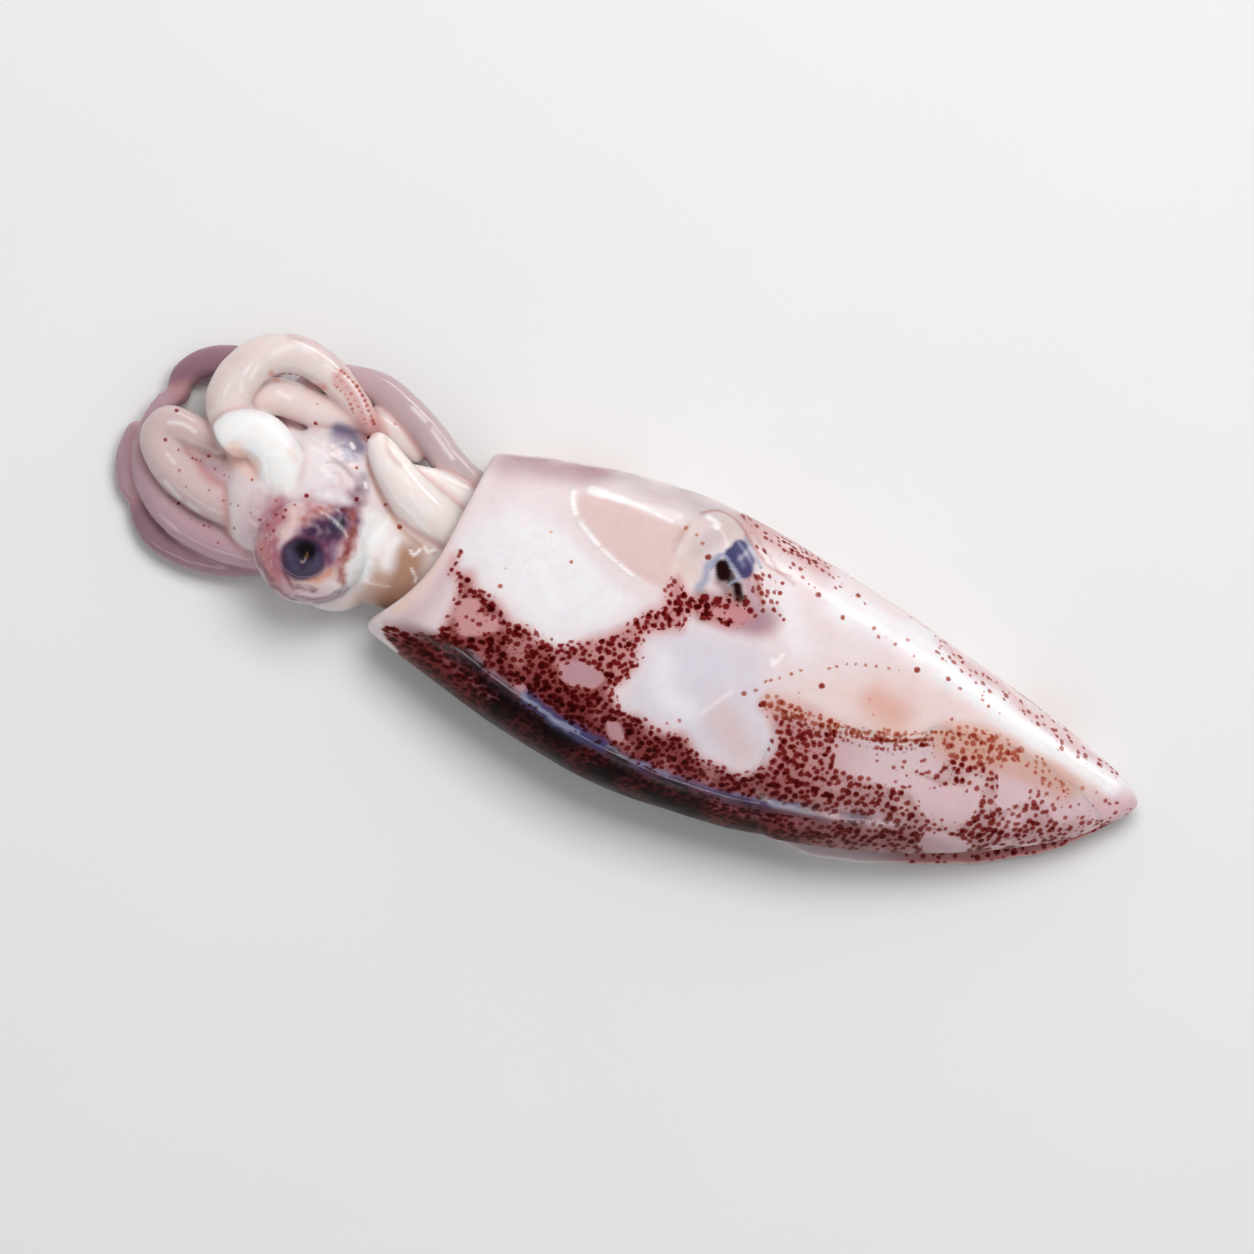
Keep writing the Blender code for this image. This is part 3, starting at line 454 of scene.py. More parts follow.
SKIN_STROKES = (
    ("white", 0.7, 1.6, 3.5, ((4.8, -1.6), (6.6, -5.4), (10, -7))),
    ("beige", 0.65, 2, 4, ((15, -6), (19, -8.6))),
    ("cream", 0.8, 0.9, 2.4, ((-14.4, 14), (-12.6, 11.6), (-9, 8.8), (-4, 6.6), (0, 5.6))),
    # Painted sheen beside the lump, in white
    ("white", 0.6, 1.4, 2.6, ((17, 12.2), (19.2, 8.6), (21.6, 6))),
    ("lilac", 0.35, 1.4, 3, ((-28, -8.4), (-26.4, -5), (-25.6, -1))),
    # Along the far upper edge at the front: painted shade in dusk, over lilac skin darkened with a little
    # plum
    ("dusk", 0.95, 2, 5, ((-20, 18.8), (-12, 19.6), (0, 20), (10, 19))),
    ("lilac", 0.95, 2.2, 6, ((-23, 16.6), (-18, 18.2), (-13, 19.4))),
    ("plum", 0.16, 2.2, 6, ((-23, 16.6), (-18, 18.2), (-13, 19.4))),
    # Painted highlight: the white band along the tail's far edge
    ("white", 0.95, 2.2, 3, ((24, 13.6), (34, 12.2), (46, 8.8), (56, 5.8), (66, 3.6))),
    ("pink", 0.7, 1.2, 2.4, ((65, 0.4), (69, 2))),
    ("peach", 0.8, 0.7, 1.6, ((-29.4, -7.8), (-27.6, -3), (-26.6, 3), (-26.4, 9))),
    ("sandy", 0.85, 0.5, 1.1, ((-29.8, -7.6), (-28, -3), (-27, 3), (-26.8, 9))),
    ("rosy", 0.6, 1, 2.6, ((10.5, 18.6), (17, 17.4), (22, 16.6))),
    ("rosy", 0.45, 0.8, 1.6, ((38, 13.4), (47, 10.8), (56, 7.6), (66, 5.4))),
    ("sandy", 0.35, 2, 2.6, ((4, 12.8), (4.4, 15), (6, 17))),
    ("sandy", 0.5, 1.2, 2, ((2.6, 10.6), (4.6, 10))),
    ("dusk", 0.75, 1.8, 3, ((5, 14.4), (6, 16.4))),
    ("tan", 0.3, 0.3, 0.7, ((1.6, 12.4), (1.7, 14.4), (2.2, 16.4))),
    ("rust", 0.6, 0.2, 0.4, ((3.2, 18.1), (4.9, 19.3), (7, 19.4), (9, 18.2), (11.2, 16.3), (12.9, 15.3))),
    ("rust", 0.5, 0.16, 0.4, ((9.6, 17.4), (12, 15.6), (14, 14.6), (17, 14.4))),
    ("rust", 0.4, 0.16, 0.4, ((11.4, 17.4), (13.6, 15.8), (15.4, 14.4), (17.8, 13.6))),
    ("lilac", 0.85, 2.2, 3, ((9.6, 7.4), (12.6, 7.6), (15.2, 7.6))),
    ("lilac", 0.8, 0.9, 1.4, ((12, 11.8), (12.8, 10.4), (13.6, 9))),
    ("plum", 0.25, 1.8, 2.8, ((9.6, 7.4), (12.6, 7.6), (14.4, 7.8))),
    ("pearl", 0.6, 0.6, 1.2, ((9, 6.9), (10.6, 6.6))),
    ("brown", 0.65, 1.3, 1.6, ((6.8, 7.6), (7.8, 6))),
    ("brown", 0.7, 0.8, 1.2, ((8.4, 10.6), (9.7, 10.2), (11.4, 9))),
    ("mist", 0.8, 0.55, 1, ((7.2, 13.4), (6.5, 12.2), (6.5, 10.6), (6.3, 9))),
    ("slate", 1, 1.1, 0.5, ((8.9, 14.4), (10.6, 13.6), (11.1, 13.1))),
    ("slate", 1, 1.1, 0.5, ((9.5, 15.6), (10.9, 14.3))),
    ("mist", 0.55, 0.18, 0.4, ((9.1, 16.2), (10.5, 15.2), (12.3, 13.7))),
    ("mist", 0.8, 0.22, 0.4, ((9.7, 17), (11.2, 15.8), (12.9, 14.2))),
    ("mist", 0.35, 0.3, 0.5, ((9.8, 14.6), (10.7, 13.6))),
    ("dark", 1, 1, 0.5, ((8.2, 12.5), (8.6, 11.7))),
    ("dark", 0.9, 0.7, 0.5, ((9.2, 12), (10, 11.2))),
    ("dark", 1, 0.6, 0.5, ((10.9, 10.8), (11.4, 9.9), (11.8, 9.4))),
    ("mist", 0.95, 0.2, 0.3, ((6.9, 11.8), (7.1, 13.2), (7.8, 14), (9, 13.3), (10.4, 12.3), (10.9, 11.9))),
    ("mist", 0.85, 0.16, 0.3, ((10.9, 11.9), (10.1, 11.1), (9.7, 10.4))),
    ("rust", 0.7, 0.35, 0.7, ((12.3, 12.9), (13.1, 12.3), (13.7, 10.8), (14.7, 9.8))),
    # Painted highlight on the top of the lump
    ("gleam", 0.85, 0.35, 0.8, ((4.4, 17.9), (5.8, 17.3))),
)
# The low ridge along the back's upper side, and the dark, bluish and pale streaks that follow it; the pale
# streaks and the rose glints are painted highlights
RIDGE_LINE = (
    (-24, -8), (-20, -9.3), (-15, -11), (-11, -12.1), (-5, -13.8), (0, -14.6), (5, -15.3), (10, -15.7),
    (20, -15.2), (30, -13.3), (35, -12.3), (41, -11), (46, -10.4),
)
RIDGE_STROKES = (
    ("ink", 0.85, 0.7, 1.2, ((-19.4, -9.6), (-17, -10.6))),
    ("ink", 0.75, 0.6, 1.2, ((-13.6, -11.8), (-11.6, -12.6))),
    ("ink", 0.9, 0.9, 1.4, ((-4.8, -14.8), (-1.6, -15.6))),
    ("ink", 0.9, 0.6, 1.2, ((3, -14.9), (5.2, -15.5))),
    ("ink", 0.8, 0.5, 1, ((10.2, -15.9), (13.4, -16.1))),
    ("ink", 0.6, 0.4, 1, ((18, -15.4), (22, -15))),
    ("slate", 1, 0.9, 1.1, ((-9.6, -12.4), (-7, -13.2), (-3, -14.1), (1.6, -14.7))),
    ("slate", 0.7, 0.35, 0.8, ((7, -15.2), (12, -15.4), (17, -15.2), (22, -14.7), (28, -13.5))),
    ("lilac", 0.4, 0.3, 0.8, ((-15.2, -10.7), (-13, -11.4), (-10.8, -12.1))),
    # Rose glints and pale mist lines: painted highlights on the wet flank
    ("rose", 0.35, 0.5, 1.4, ((-22, -11.2), (-18, -12.6), (-14, -14))),
    ("rose", 0.35, 0.5, 1.4, ((18, -17), (24, -16.4), (30, -15))),
    ("mist", 0.85, 0.2, 0.4, ((-10.4, -12.2), (-6, -13.5), (-2, -14.2))),
    ("mist", 0.6, 0.14, 0.4, ((-6, -13.9), (-3.4, -14.5))),
    ("mist", 0.6, 0.14, 0.4, ((2.4, -14.5), (6, -15.1), (11, -15.3))),
    ("mist", 0.4, 0.14, 0.4, ((20, -14.8), (25, -14), (30, -13.1))),
    ("mist", 0.4, 0.14, 0.4, ((-19, -9.2), (-16.4, -10.2))),
)
# Painted highlights on wet edges, in the gleam colour: strokes without a colour
PAINTED_HIGHLIGHTS = (
    (1, 0.24, 0.3, ((-13.4, 15), (-13.2, 14))),
    (1, 0.3, 0.3, ((-13, 13.6), (-12.2, 12.4))),
    (0.95, 0.2, 0.3, ((-11.2, 11.5), (-10, 10.8))),
    (1, 0.24, 0.3, ((-9.6, 10.5), (-8, 9.6))),
    (0.9, 0.18, 0.3, ((-7.2, 9.2), (-5, 8.3))),
    (0.9, 0.2, 0.3, ((-4.4, 8.1), (-2.4, 7.4))),
    (0.5, 0.2, 0.6, ((12.4, -6.2), (13.8, -4), (15, -2.4))),
    (0.45, 0.8, 1.8, ((-14, 4), (-12, 2), (-10.4, 0.6))),
    (0.9, 0.55, 0.7, ((-11.2, 16), (-9.6, 16.1))),
    (0.9, 0.38, 0.7, ((-10, 16.1), (-8.4, 16.2), (-7, 16.2))),
    (0.75, 0.22, 0.5, ((-7.6, 16.3), (-4, 16.1), (0, 15.8))),
    (0.8, 0.2, 0.3, ((18.5, 3.4), (18.8, 2.8), (19.6, 4.6))),
    (0.7, 0.9, 1.8, ((40, 10.4), (48, 7.9), (56, 5.6), (66, 3.2))),
)
# Wettest places, as strokes whose strength is the wetness
WET_PLACES = (
    (0.55, 1.8, 2.4, ((40, 10.4), (50, 7.6), (60, 4.8), (68, 2.4))),
    (0.3, 1.4, 2, ((-11, 16.2), (-6, 16.3), (0, 15.8))),
    (0.6, 1.6, 2, ((3, 16.6), (7, 16.6), (11, 14), (13.6, 12))),
    (0.9, 1, 1, ((-20, -9.6), (-11, -12.3), (0, -14.8), (10, -15.9), (24, -14.6), (40, -11.4))),
)
# The crease round the clear panel beside the lump
CREASE_LINE = (
    (-13.5, 15.2), (-13.2, 14), (-12.5, 13), (-11, 11.3), (-8.5, 9.8), (-5, 8.3), (-2, 7.3), (0.8, 6.5),
)

# Skin: layers of spots as (share of the density, millimetres between spots, largest radius as a share of
# that, strength), and how far the spots' outlines are shaken, in millimetres
SPOT_LAYERS = ((0.6, 0.66, 0.36, 0.5), (1.0, 0.98, 0.42, 1.0), (1.0, 1.12, 0.44, 1.0))
SPOT_SHAKE = 0.28
# Depth of the fine unevenness of wet flesh, in millimetres
GRAIN_DEPTH = 0.25
FLESH_FINISH = {
    "Subsurface Weight": 0.55, "Subsurface Radius": (1.0, 0.55, 0.45), "Subsurface Scale": 1.4 * MM,
    "Specular IOR Level": 0.05, "IOR": 1.35, "Coat Weight": 0.5, "Coat IOR": 1.4, "Coat Roughness": 0.17,
}
SUCKER_FINISH = {
    "Roughness": 0.3, "Subsurface Weight": 0.4, "Subsurface Scale": 0.8 * MM, "Coat Weight": 0.6,
    "Coat Roughness": 0.08,
}

# Stage: the camera's turn about the vertical, the floor's size in metres and its two shades of paper
VIEW_TURN = math.radians(20.3)
FLOOR_SIZE = 3.0
PAPER_TONES = ((0.86, 0.86, 0.865, 1.0), (0.88, 0.88, 0.88, 1.0))
WALL_COLOUR = (0.98, 0.99, 1.0, 1.0)
# Lights: degrees round from the right of the view, degrees up, size in metres and colour, all at one distance
LIGHTS = {
    "soft_box": (66, 66, (0.36, 0.26), (1.0, 0.99, 0.97)),
    "far_strip": (50, 15, (0.80, 0.11), (1.0, 0.99, 0.97)),
    "near_strip": (-112, 25, (0.90, 0.05), (0.90, 0.94, 1.0)),
}
LIGHT_DISTANCE = 0.6


# Small tools


def smoothstep(low, high, value):
    t = np.clip((value - low) / (high - low), 0.0, 1.0)
    return t * t * (3 - 2 * t)


def smooth_route(points, count):
    """count points spread along the smooth curve through the given ones."""
    points = np.array(points, float)
    spans = len(points) - 1
    place = np.linspace(0, spans, count)
    index = np.minimum(place.astype(int), spans - 1)
    t = (place - index)[:, None]
    p0, p1, p2, p3 = (points[np.clip(index + k, 0, spans)] for k in (-1, 0, 1, 2))
    bend = 2 * p0 - 5 * p1 + 4 * p2 - p3
    return 0.5 * (2 * p1 + (p2 - p0) * t + bend * t**2 + (3 * p1 - p0 - 3 * p2 + p3) * t**3)


def from_line(points, line):
    """Distance of each point to a line of points, and how far along it the nearest place is, from 0 to 1."""
    best = np.full(len(points), np.inf)
    share = np.zeros(len(points))
    spans = max(len(line) - 1, 1)
    for index, (a, b) in enumerate(zip(line, line[1:] if len(line) > 1 else line)):
        span = b - a
        t = np.clip((points - a) @ span / max(span @ span, 1e-12), 0, 1)
        away = np.linalg.norm(points - a - t[:, None] * span, axis=1)
        nearer = away < best
        best[nearer] = away[nearer]
        share[nearer] = ((index + t) / spans)[nearer]
    return best, share


def inside_by(points, outline):
    """How far each point is inside a closed smooth outline; negative outside."""
    closed = np.array([*outline, outline[0]], float)
    line = smooth_route(closed, 6 * len(closed))
    away, _ = from_line(points, line)
    inside = np.zeros(len(points), bool)
    for a, b in zip(line, line[1:]):
        crosses = (a[1] > points[:, 1]) != (b[1] > points[:, 1])
        at = a[0] + (points[:, 1] - a[1]) / (b[1] - a[1] if b[1] != a[1] else 1.0) * (b[0] - a[0])
        inside ^= crosses & (points[:, 0] < at)
    return np.where(inside, away, -away)


def noise_at(points, size, seed):
    """Smooth noise from -1 to 1 over features of that size."""
    offset = Vector((seed * 7.3, seed * 3.1, seed * 5.7))
    return np.array([noise.noise(Vector(point) / size + offset) for point in points])


def drift_at(points, size, seed):
    """Smooth noise along X and Y, from this seed and the next."""
    return np.stack([noise_at(points, size, seed), noise_at(points, size, seed + 1)], 1)


def stroke_mask(plan, stroke):
    """How strongly a stroke without its colour covers each point."""
    strength, half_width, softness, points = stroke
    line = np.array(points, float)
    if len(line) > 2:
        line = smooth_route(line, 5 * len(line))
    away, _ = from_line(plan, line)
    return strength * (1 - smoothstep(half_width - softness / 2, half_width + softness / 2, away))


def patch_mask(plan, patch):
    strength, softness, outline = patch
    return strength * smoothstep(-softness / 2, softness / 2, inside_by(plan, outline))


def with_rows(marks, rows):
    """The single marks, and those spread evenly along each row."""
    spread = [(*place, radius, tone) for count, radius, tone, points in rows
              for place in smooth_route(points, count)]
    return [*marks, *spread]


def from_marks(plan, marks):
    """How far each point is outside the nearest mark, in millimetres, and that mark's tone."""
    away = np.full(len(plan), MARK_REACH)
    tone = np.zeros(len(plan))
    for x, y, radius, warm in marks:
        outside = np.hypot(plan[:, 0] - x, plan[:, 1] - y) - radius
        nearer = outside < away
        away[nearer] = outside[nearer]
        tone[nearer] = warm
    return away, tone


def covered(count, colour):
    """That colour for each of count points."""
    return np.tile(np.array(colour)[:3], (count, 1))


def paint(ground, mask, colour):
    """Lays a colour over the ground, as far as mask says."""
    ground += mask[:, None] * (np.array(colour)[:3] - ground)


def paint_strokes(ground, colours, strokes, plan, share=1.0):
    for colour, *stroke in strokes:
        paint(ground, stroke_mask(plan, stroke) * share, getattr(colours, colour))


def link_object(name, data):
    """A new object of the scene with this data, at the origin."""
    made = bpy.data.objects.new(name, data)
    bpy.context.scene.collection.objects.link(made)
    return made


def new_object(name, points, faces):
    """A smooth mesh object. faces is a list, or an array where all of them have as many corners."""
    mesh = bpy.data.meshes.new(name)
    if isinstance(faces, np.ndarray):
        faces = faces.tolist()
    mesh.from_pydata(np.asarray(points).tolist(), [], faces)
    mesh.shade_smooth()
    return link_object(name, mesh)


def mesh_points(mesh):
    points = np.empty(len(mesh.vertices) * 3, np.float32)
    mesh.vertices.foreach_get("co", points)
    return points.reshape(-1, 3).astype(float)


def in_millimetres(piece):
    """The piece's points as the tables give places."""
    return (mesh_points(piece.data) - SHIFT) / MM


def set_values(mesh, name, values):
    """Gives each point a number under that name."""
    held = mesh.attributes.get(name) or mesh.attributes.new(name, "FLOAT", "POINT")
    held.data.foreach_set("value", values.astype(np.float32))


def set_map(mesh, places):
    """The UV map "skin" from a place for each point, in metres."""
    corners = np.empty(len(mesh.loops), np.int32)
    mesh.loops.foreach_get("vertex_index", corners)
    mesh.uv_layers.new(name="skin").data.foreach_set("uv", places[corners].astype(np.float32).ravel())


def set_colours(mesh, name, colours):
    """Gives each point a colour under that name."""
    opaque = np.ones((len(colours), 4), np.float32)
    opaque[:, :3] = colours
    held = mesh.attributes.get(name) or mesh.attributes.new(name, "FLOAT_COLOR", "POINT")
    held.data.foreach_set("color", opaque.ravel())


def grid_faces(rows, columns, wrap):
    """Quads over a grid of points, row by row; wrap joins the last column to the first."""
    row, column = np.meshgrid(np.arange(rows - 1), np.arange(columns - (not wrap)), indexing="ij")
    right = (column + 1) % columns
    quads = np.stack([row * columns + column, row * columns + right, (row + 1) * columns + right,
                      (row + 1) * columns + column], axis=-1)
    return quads.reshape(-1, 4)


def finished(source, name):
    """The evaluated shape of source as a plain mesh object; source is removed."""
    bpy.context.view_layer.update()
    shape = source.evaluated_get(bpy.context.evaluated_depsgraph_get())
    mesh = bpy.data.meshes.new_from_object(shape)
    mesh.transform(source.matrix_world)
    bpy.data.objects.remove(source)
    return link_object(name, mesh)


def finish_piece(piece, slot, *nodes):
    """Says what the piece rides on and which solids it stands for; slot is not used."""
    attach(piece, "root")
    if nodes:
        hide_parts(*nodes)


class Tree:
    """Adds nodes to a node tree and joins them."""

    def __init__(self, tree):
        self.tree = tree

    def feed(self, node, values):
        """Joins each named input to a socket, or gives it a value."""
        for name, value in values.items():
            if isinstance(value, bpy.types.NodeSocket):
                self.tree.links.new(value, node.inputs[name])
            else:
                node.inputs[name].default_value = value

    def add(self, kind, values=None, **settings):
        node = self.tree.nodes.new(kind)
        for name, value in settings.items():
            setattr(node, name, value)
        self.feed(node, values or {})
        return node

    def math(self, operation, first, second=0.0, clamp=False):
        made = self.add("ShaderNodeMath", {0: first, 1: second}, operation=operation, use_clamp=clamp)
        return made.outputs[0]

    def vector(self, operation, first, second=(0.0, 0.0, 0.0)):
        made = self.add("ShaderNodeVectorMath", {0: first, 1: second}, operation=operation)
        return made.outputs["Value" if operation == "DOT_PRODUCT" else "Vector"]

    def scaled(self, vector, share):
        made = self.add("ShaderNodeVectorMath", {0: vector, "Scale": share}, operation="SCALE")
        return made.outputs["Vector"]

    def ramp(self, value, low, high, start=0.0, end=1.0):
        """Runs smoothly from start to end while value runs from low to high."""
        values = {"Value": value, "From Min": low, "From Max": high, "To Min": start, "To Max": end}
        return self.add("ShaderNodeMapRange", values, interpolation_type="SMOOTHSTEP").outputs["Result"]

    def mix(self, share, first, second, blend="MIX"):
        values = {0: share, 6: first, 7: second}
        return self.add("ShaderNodeMix", values, data_type="RGBA", blend_type=blend).outputs[2]

    def grain(self, place, scale, detail):
        """Smooth noise: its value, then its colour."""
        return self.add("ShaderNodeTexNoise", {"Vector": place, "Scale": scale, "Detail": detail}).outputs

    def value(self, name):
        """The number that each point has under that name."""
        return self.add("ShaderNodeAttribute", attribute_name=name).outputs["Fac"]


def new_material(name):
    """A material, its node tree and its shader."""
    made = bpy.data.materials.new(name)
    made.use_nodes = True
    return made, Tree(made.node_tree), made.node_tree.nodes["Principled BSDF"]


# The mantle's form


def half_width(body, along):
    """Half of the mantle's width, in millimetres, at a share of the way from its mouth to its tail."""
    front = 1 - (1 - np.clip(along, 0, WIDEST_AT) / WIDEST_AT) ** MOUTH_SWELL
    behind = np.clip((along - WIDEST_AT) / (1 - WIDEST_AT), 0, 1)
    mouth = MOUTH_SHARE + (1 - MOUTH_SHARE) * front
    tip = 1 + TIP_SWELL * np.exp((along - 1) / TIP_REACH)
    tail = (1 - behind**TAIL_POWER) ** TAIL_ROUNDNESS * tip
    return body.half_width / MM * np.where(along < WIDEST_AT, mouth, tail)


def flatness(along):
    """Half height as a share of half width: least in the belly, more towards both ends."""
    away = (along - FLATTEST_AT) / (1 - FLATTEST_AT)
    return BELLY_FLATNESS + (END_FLATNESS - BELLY_FLATNESS) * away**2


def middle_height(body, along):
    """Height of the middle line: the mantle sags onto the floor, and its tail lifts off it."""
    resting = SAG * half_width(body, along) * flatness(along)
    return np.hypot(resting, TAIL_LIFT * along**4)


def spine(body, along):
    """The middle line in plan, and the direction across it."""
    half_turn = body.mantle_length / MM / BEND_RADIUS / 2
    turn = along * 2 * half_turn - half_turn
    centre = np.array(MOUTH_MIDDLE) + BEND_RADIUS * np.array([math.sin(half_turn), math.cos(half_turn)])
    across = np.stack([-np.sin(turn), np.cos(turn)], axis=-1)
    reach = BEND_RADIUS - SWAY * np.sin(2 * math.pi * along)
    return centre - reach[..., None] * across, across


def rounded(value):
    """The sine or cosine of a section that is squarer than a circle."""
    return np.copysign(np.abs(value) ** (2 / SECTION_SQUARENESS), value)


def angle_between(first, second):
    return np.abs((first - second + math.pi) % (2 * math.pi) - math.pi)


def lobe(body, along, angle):
    """How far the collar's lobe moves the skin forwards, as a share of the mantle's length."""
    off = angle_between(angle, LOBE_ANGLE)
    rise = np.cos(np.minimum(off / LOBE_HALF_ANGLE, 1) * math.pi / 2) ** 2
    fade = np.clip(1 - along / LOBE_FADE, 0, None) ** 2
    return LOBE_REACH / (body.mantle_length / MM) * rise * fade


def on_mantle(body, along, angle, share=1.0, out=0.0):
    """Points of the mantle, in millimetres. angle turns from +Y over the top; share below 1 is inside."""
    given = (along, angle, share, out)
    along, angle, share, out = np.broadcast_arrays(*(np.asarray(values, float) for values in given))
    width = half_width(body, along)
    across = width * share + out
    up = width * flatness(along) * share + out
    middle, sideways = spine(body, along - lobe(body, along, angle))
    plan = middle + sideways * (across * rounded(np.cos(angle)))[..., None]
    height = middle_height(body, along) + up * rounded(np.sin(angle))
    floor = 0.9 * np.minimum(body.wall / MM, width * (1 - share))
    above = height - floor
    height = floor + (above + np.hypot(above, FLOOR_ROUNDING)) / 2
    return np.concatenate([plan, height[..., None]], axis=-1)


def unit(vectors):
    return vectors / np.maximum(np.linalg.norm(vectors, axis=-1, keepdims=True), 1e-9)


def grid_normals(points):
    """Normals of a grid of points that closes on itself sideways."""
    down = np.gradient(points, axis=0)
    round_again = np.concatenate([points[:, -1:], points, points[:, :1]], axis=1)
    return unit(np.cross(np.gradient(round_again, axis=1)[:, 1:-1], down))


def skin_relief(points, along, angle):
    """How far the skin stands out, in millimetres: lump, ridge, crease and soft unevenness."""
    flat = points.reshape(-1, 3)
    plan = flat[:, :2]
    top = smoothstep(-0.1, 0.25, np.sin(angle)).ravel()
    relief = 0.16 * noise_at(flat, 9.0, 1) + 0.07 * noise_at(flat, 3.5, 2)
    (x, y), length, width, height = LUMP
    away = np.hypot((plan[:, 0] - x) / length, (plan[:, 1] - y) / width)
    relief += top * height * (1 - smoothstep(0.25, 1.0, away))
    for line, steps, height, width, start, end in (
        (RIDGE_LINE, 60, 0.25, 0.9, 0.15, 0.8), (CREASE_LINE, 40, 0.22, 0.35, 0.0, 0.85),
    ):
        away, share = from_line(plan, smooth_route(line, steps))
        ends = (smoothstep(0, start, share) if start else 1) * (1 - smoothstep(end, 1.0, share))
        relief += top * ends * height * np.exp(-((away / width) ** 2))
    relief *= smoothstep(0.0, 0.04, along).ravel()
    return relief.reshape(along.shape)


# The mantle's pattern


def skin_map(body, along, angle):
    """The skin spread flat, in metres: a fan round the tail, on which round spots stay round."""
    reach = body.mantle_length / MM * (1 - along) + FAN_MIDDLE
    turns = np.linspace(-math.pi / 2, 3 * math.pi / 2, 721)
    steps = np.hypot(np.diff(rounded(np.cos(turns))), BELLY_FLATNESS * np.diff(rounded(np.sin(turns))))
    girth = np.concatenate([[0.0], np.cumsum(steps)])
    turn = (np.interp(angle, turns, girth) - girth[-1] / 2) * half_width(body, along) / reach
    return np.stack([-reach * np.cos(turn), reach * np.sin(turn)], axis=-1) * MM


def above_ridge(plan):
    """How far each point is above the ridge line as seen from above, in millimetres."""
    return plan[:, 1] - np.interp(plan[:, 0], *np.array(RIDGE_LINE).T)


def spot_density(plan, height):
    """How thickly the skin is set with pigment spots, from 0 to 1."""
    place = np.c_[plan, height]
    ragged = plan + 0.45 * drift_at(place, 2.4, 3)
    x, y = plan.T
    level = 1.0 - 0.18 * smoothstep(20, 34, x) - 0.40 * smoothstep(48, 58, x) * smoothstep(-7.0, 0.0, y)
    level -= 0.30 * smoothstep(-18, -22, x) * smoothstep(-8.5, -7.0, y)
    level *= 1 + 0.35 * np.clip(noise_at(place, 2.8, 9) * 2, -1, 0.5)
    density = smoothstep(-0.6, 1.0, inside_by(ragged, DOTTED_SKIN)) * level
    for patch in (*THIN_PLACES, *BARE_PLACES, COLLAR_RIM):
        density *= 1 - patch_mask(ragged, patch)
    for stroke in SPARSE_PLACES:
        density = np.maximum(density, stroke_mask(plan, stroke))
    return density


def paint_bare_skin(ground, colours, plan, drifted, shaken):
    """Patches and strokes of bare skin: the softer an edge is, the further it wanders."""
    for colour, strength, softness, outline in SKIN_PATCHES:
        where = drifted if softness > 2 else plan
        paint(ground, patch_mask(where, (strength, softness, outline)), getattr(colours, colour))
    for stroke in SKIN_STROKES:
        softness = stroke[3]
        where = drifted if softness > 1.5 else shaken if softness > 0.5 else plan
        paint_strokes(ground, colours, [stroke], where)


def paint_dotted_skin(ground, colours, plan, drifted, density, rim):
    """Rosy to wine-red ground under the spots, and the lilac and pink of the bare places among them."""
    x, y = plan.T
    within = inside_by(drifted, DOTTED_SKIN)
    dotted = smoothstep(-0.9, 1.4, within)
    rear = smoothstep(24, 38, x)
    bare = np.max([patch_mask(plan, patch) for patch in BARE_PLACES], axis=0)
    by_ridge = (1 - smoothstep(5.0, 11.0, above_ridge(plan))) * (1 - 0.7 * smoothstep(14, 28, x))
    thick = smoothstep(0.0, 2.0, within) * smoothstep(0.4, 0.9, density)
    # Towards the low side the ground deepens to wine: partly dark pigment, partly painted shade
    low = smoothstep(-7.0, -12.5, y) * (1 - smoothstep(24, 36, x)) * (1 - bare)
    low_front_shade = 0.75 * low * (1 - 0.4 * smoothstep(-2, 10, x))
    low_rear_shade = 0.35 * smoothstep(-6.0, -12.0, y) * smoothstep(24, 36, x)
    for colour, mask in (
        (colours.rosy, dotted * (0.85 - 0.45 * rear) * (1 - 0.75 * rim)),
        (colours.pink, 0.55 * dotted * smoothstep(48, 58, x)),
        (colours.red, thick * (0.25 + 0.65 * by_ridge)),
        (colours.lilac, 0.75 * bare * (1 - rear)),
        (colours.pink, 0.85 * bare * rear),
        (colours.wine, dotted * np.maximum(low_front_shade, low_rear_shade) * (0.3 + 0.7 * density)),
    ):
        paint(ground, mask, colour)


def paint_fin_edge(ground, colours, x, drifted):
    """The near fin's sandy edge and its orange glow. Returns how far the spots there are the warm ones."""
    edge = stroke_mask(drifted, FIN_EDGE_LINE)
    glow = np.max([stroke_mask(drifted, stroke) for stroke in FIN_GLOWS], axis=0)
    paint(ground, 0.45 * edge, colours.sandy)
    paint(ground, 0.70 * glow, colours.orange)
    return np.max([edge, glow, 0.15 * smoothstep(14, 30, x)], axis=0)


def paint_flank(ground, colours, plan, place, rim):
    """The flank below the ridge: wine-red, and near black in its middle and in blotches, partly dark pigment
    and partly painted shade.
    """
    x = plan[:, 0]
    below = smoothstep(0.4, -1.6, above_ridge(plan)) * (1 - rim)
    below *= smoothstep(-33, -22, x) * (1 - 0.55 * smoothstep(22, 40, x)) * (1 - 0.6 * smoothstep(40, 52, x))
    middle = smoothstep(-24, -10, x) * (1 - smoothstep(12, 32, x))
    blotch = np.clip(2 * noise_at(place, 4.0, 16), -1, 1)
    shade = 0.25 * (1 - smoothstep(24, 38, x)) + 0.60 * middle + 0.30 * blotch
    paint(ground, 0.95 * below, colours.wine)
    paint(ground, below * shade.clip(0, 1), colours.dark)


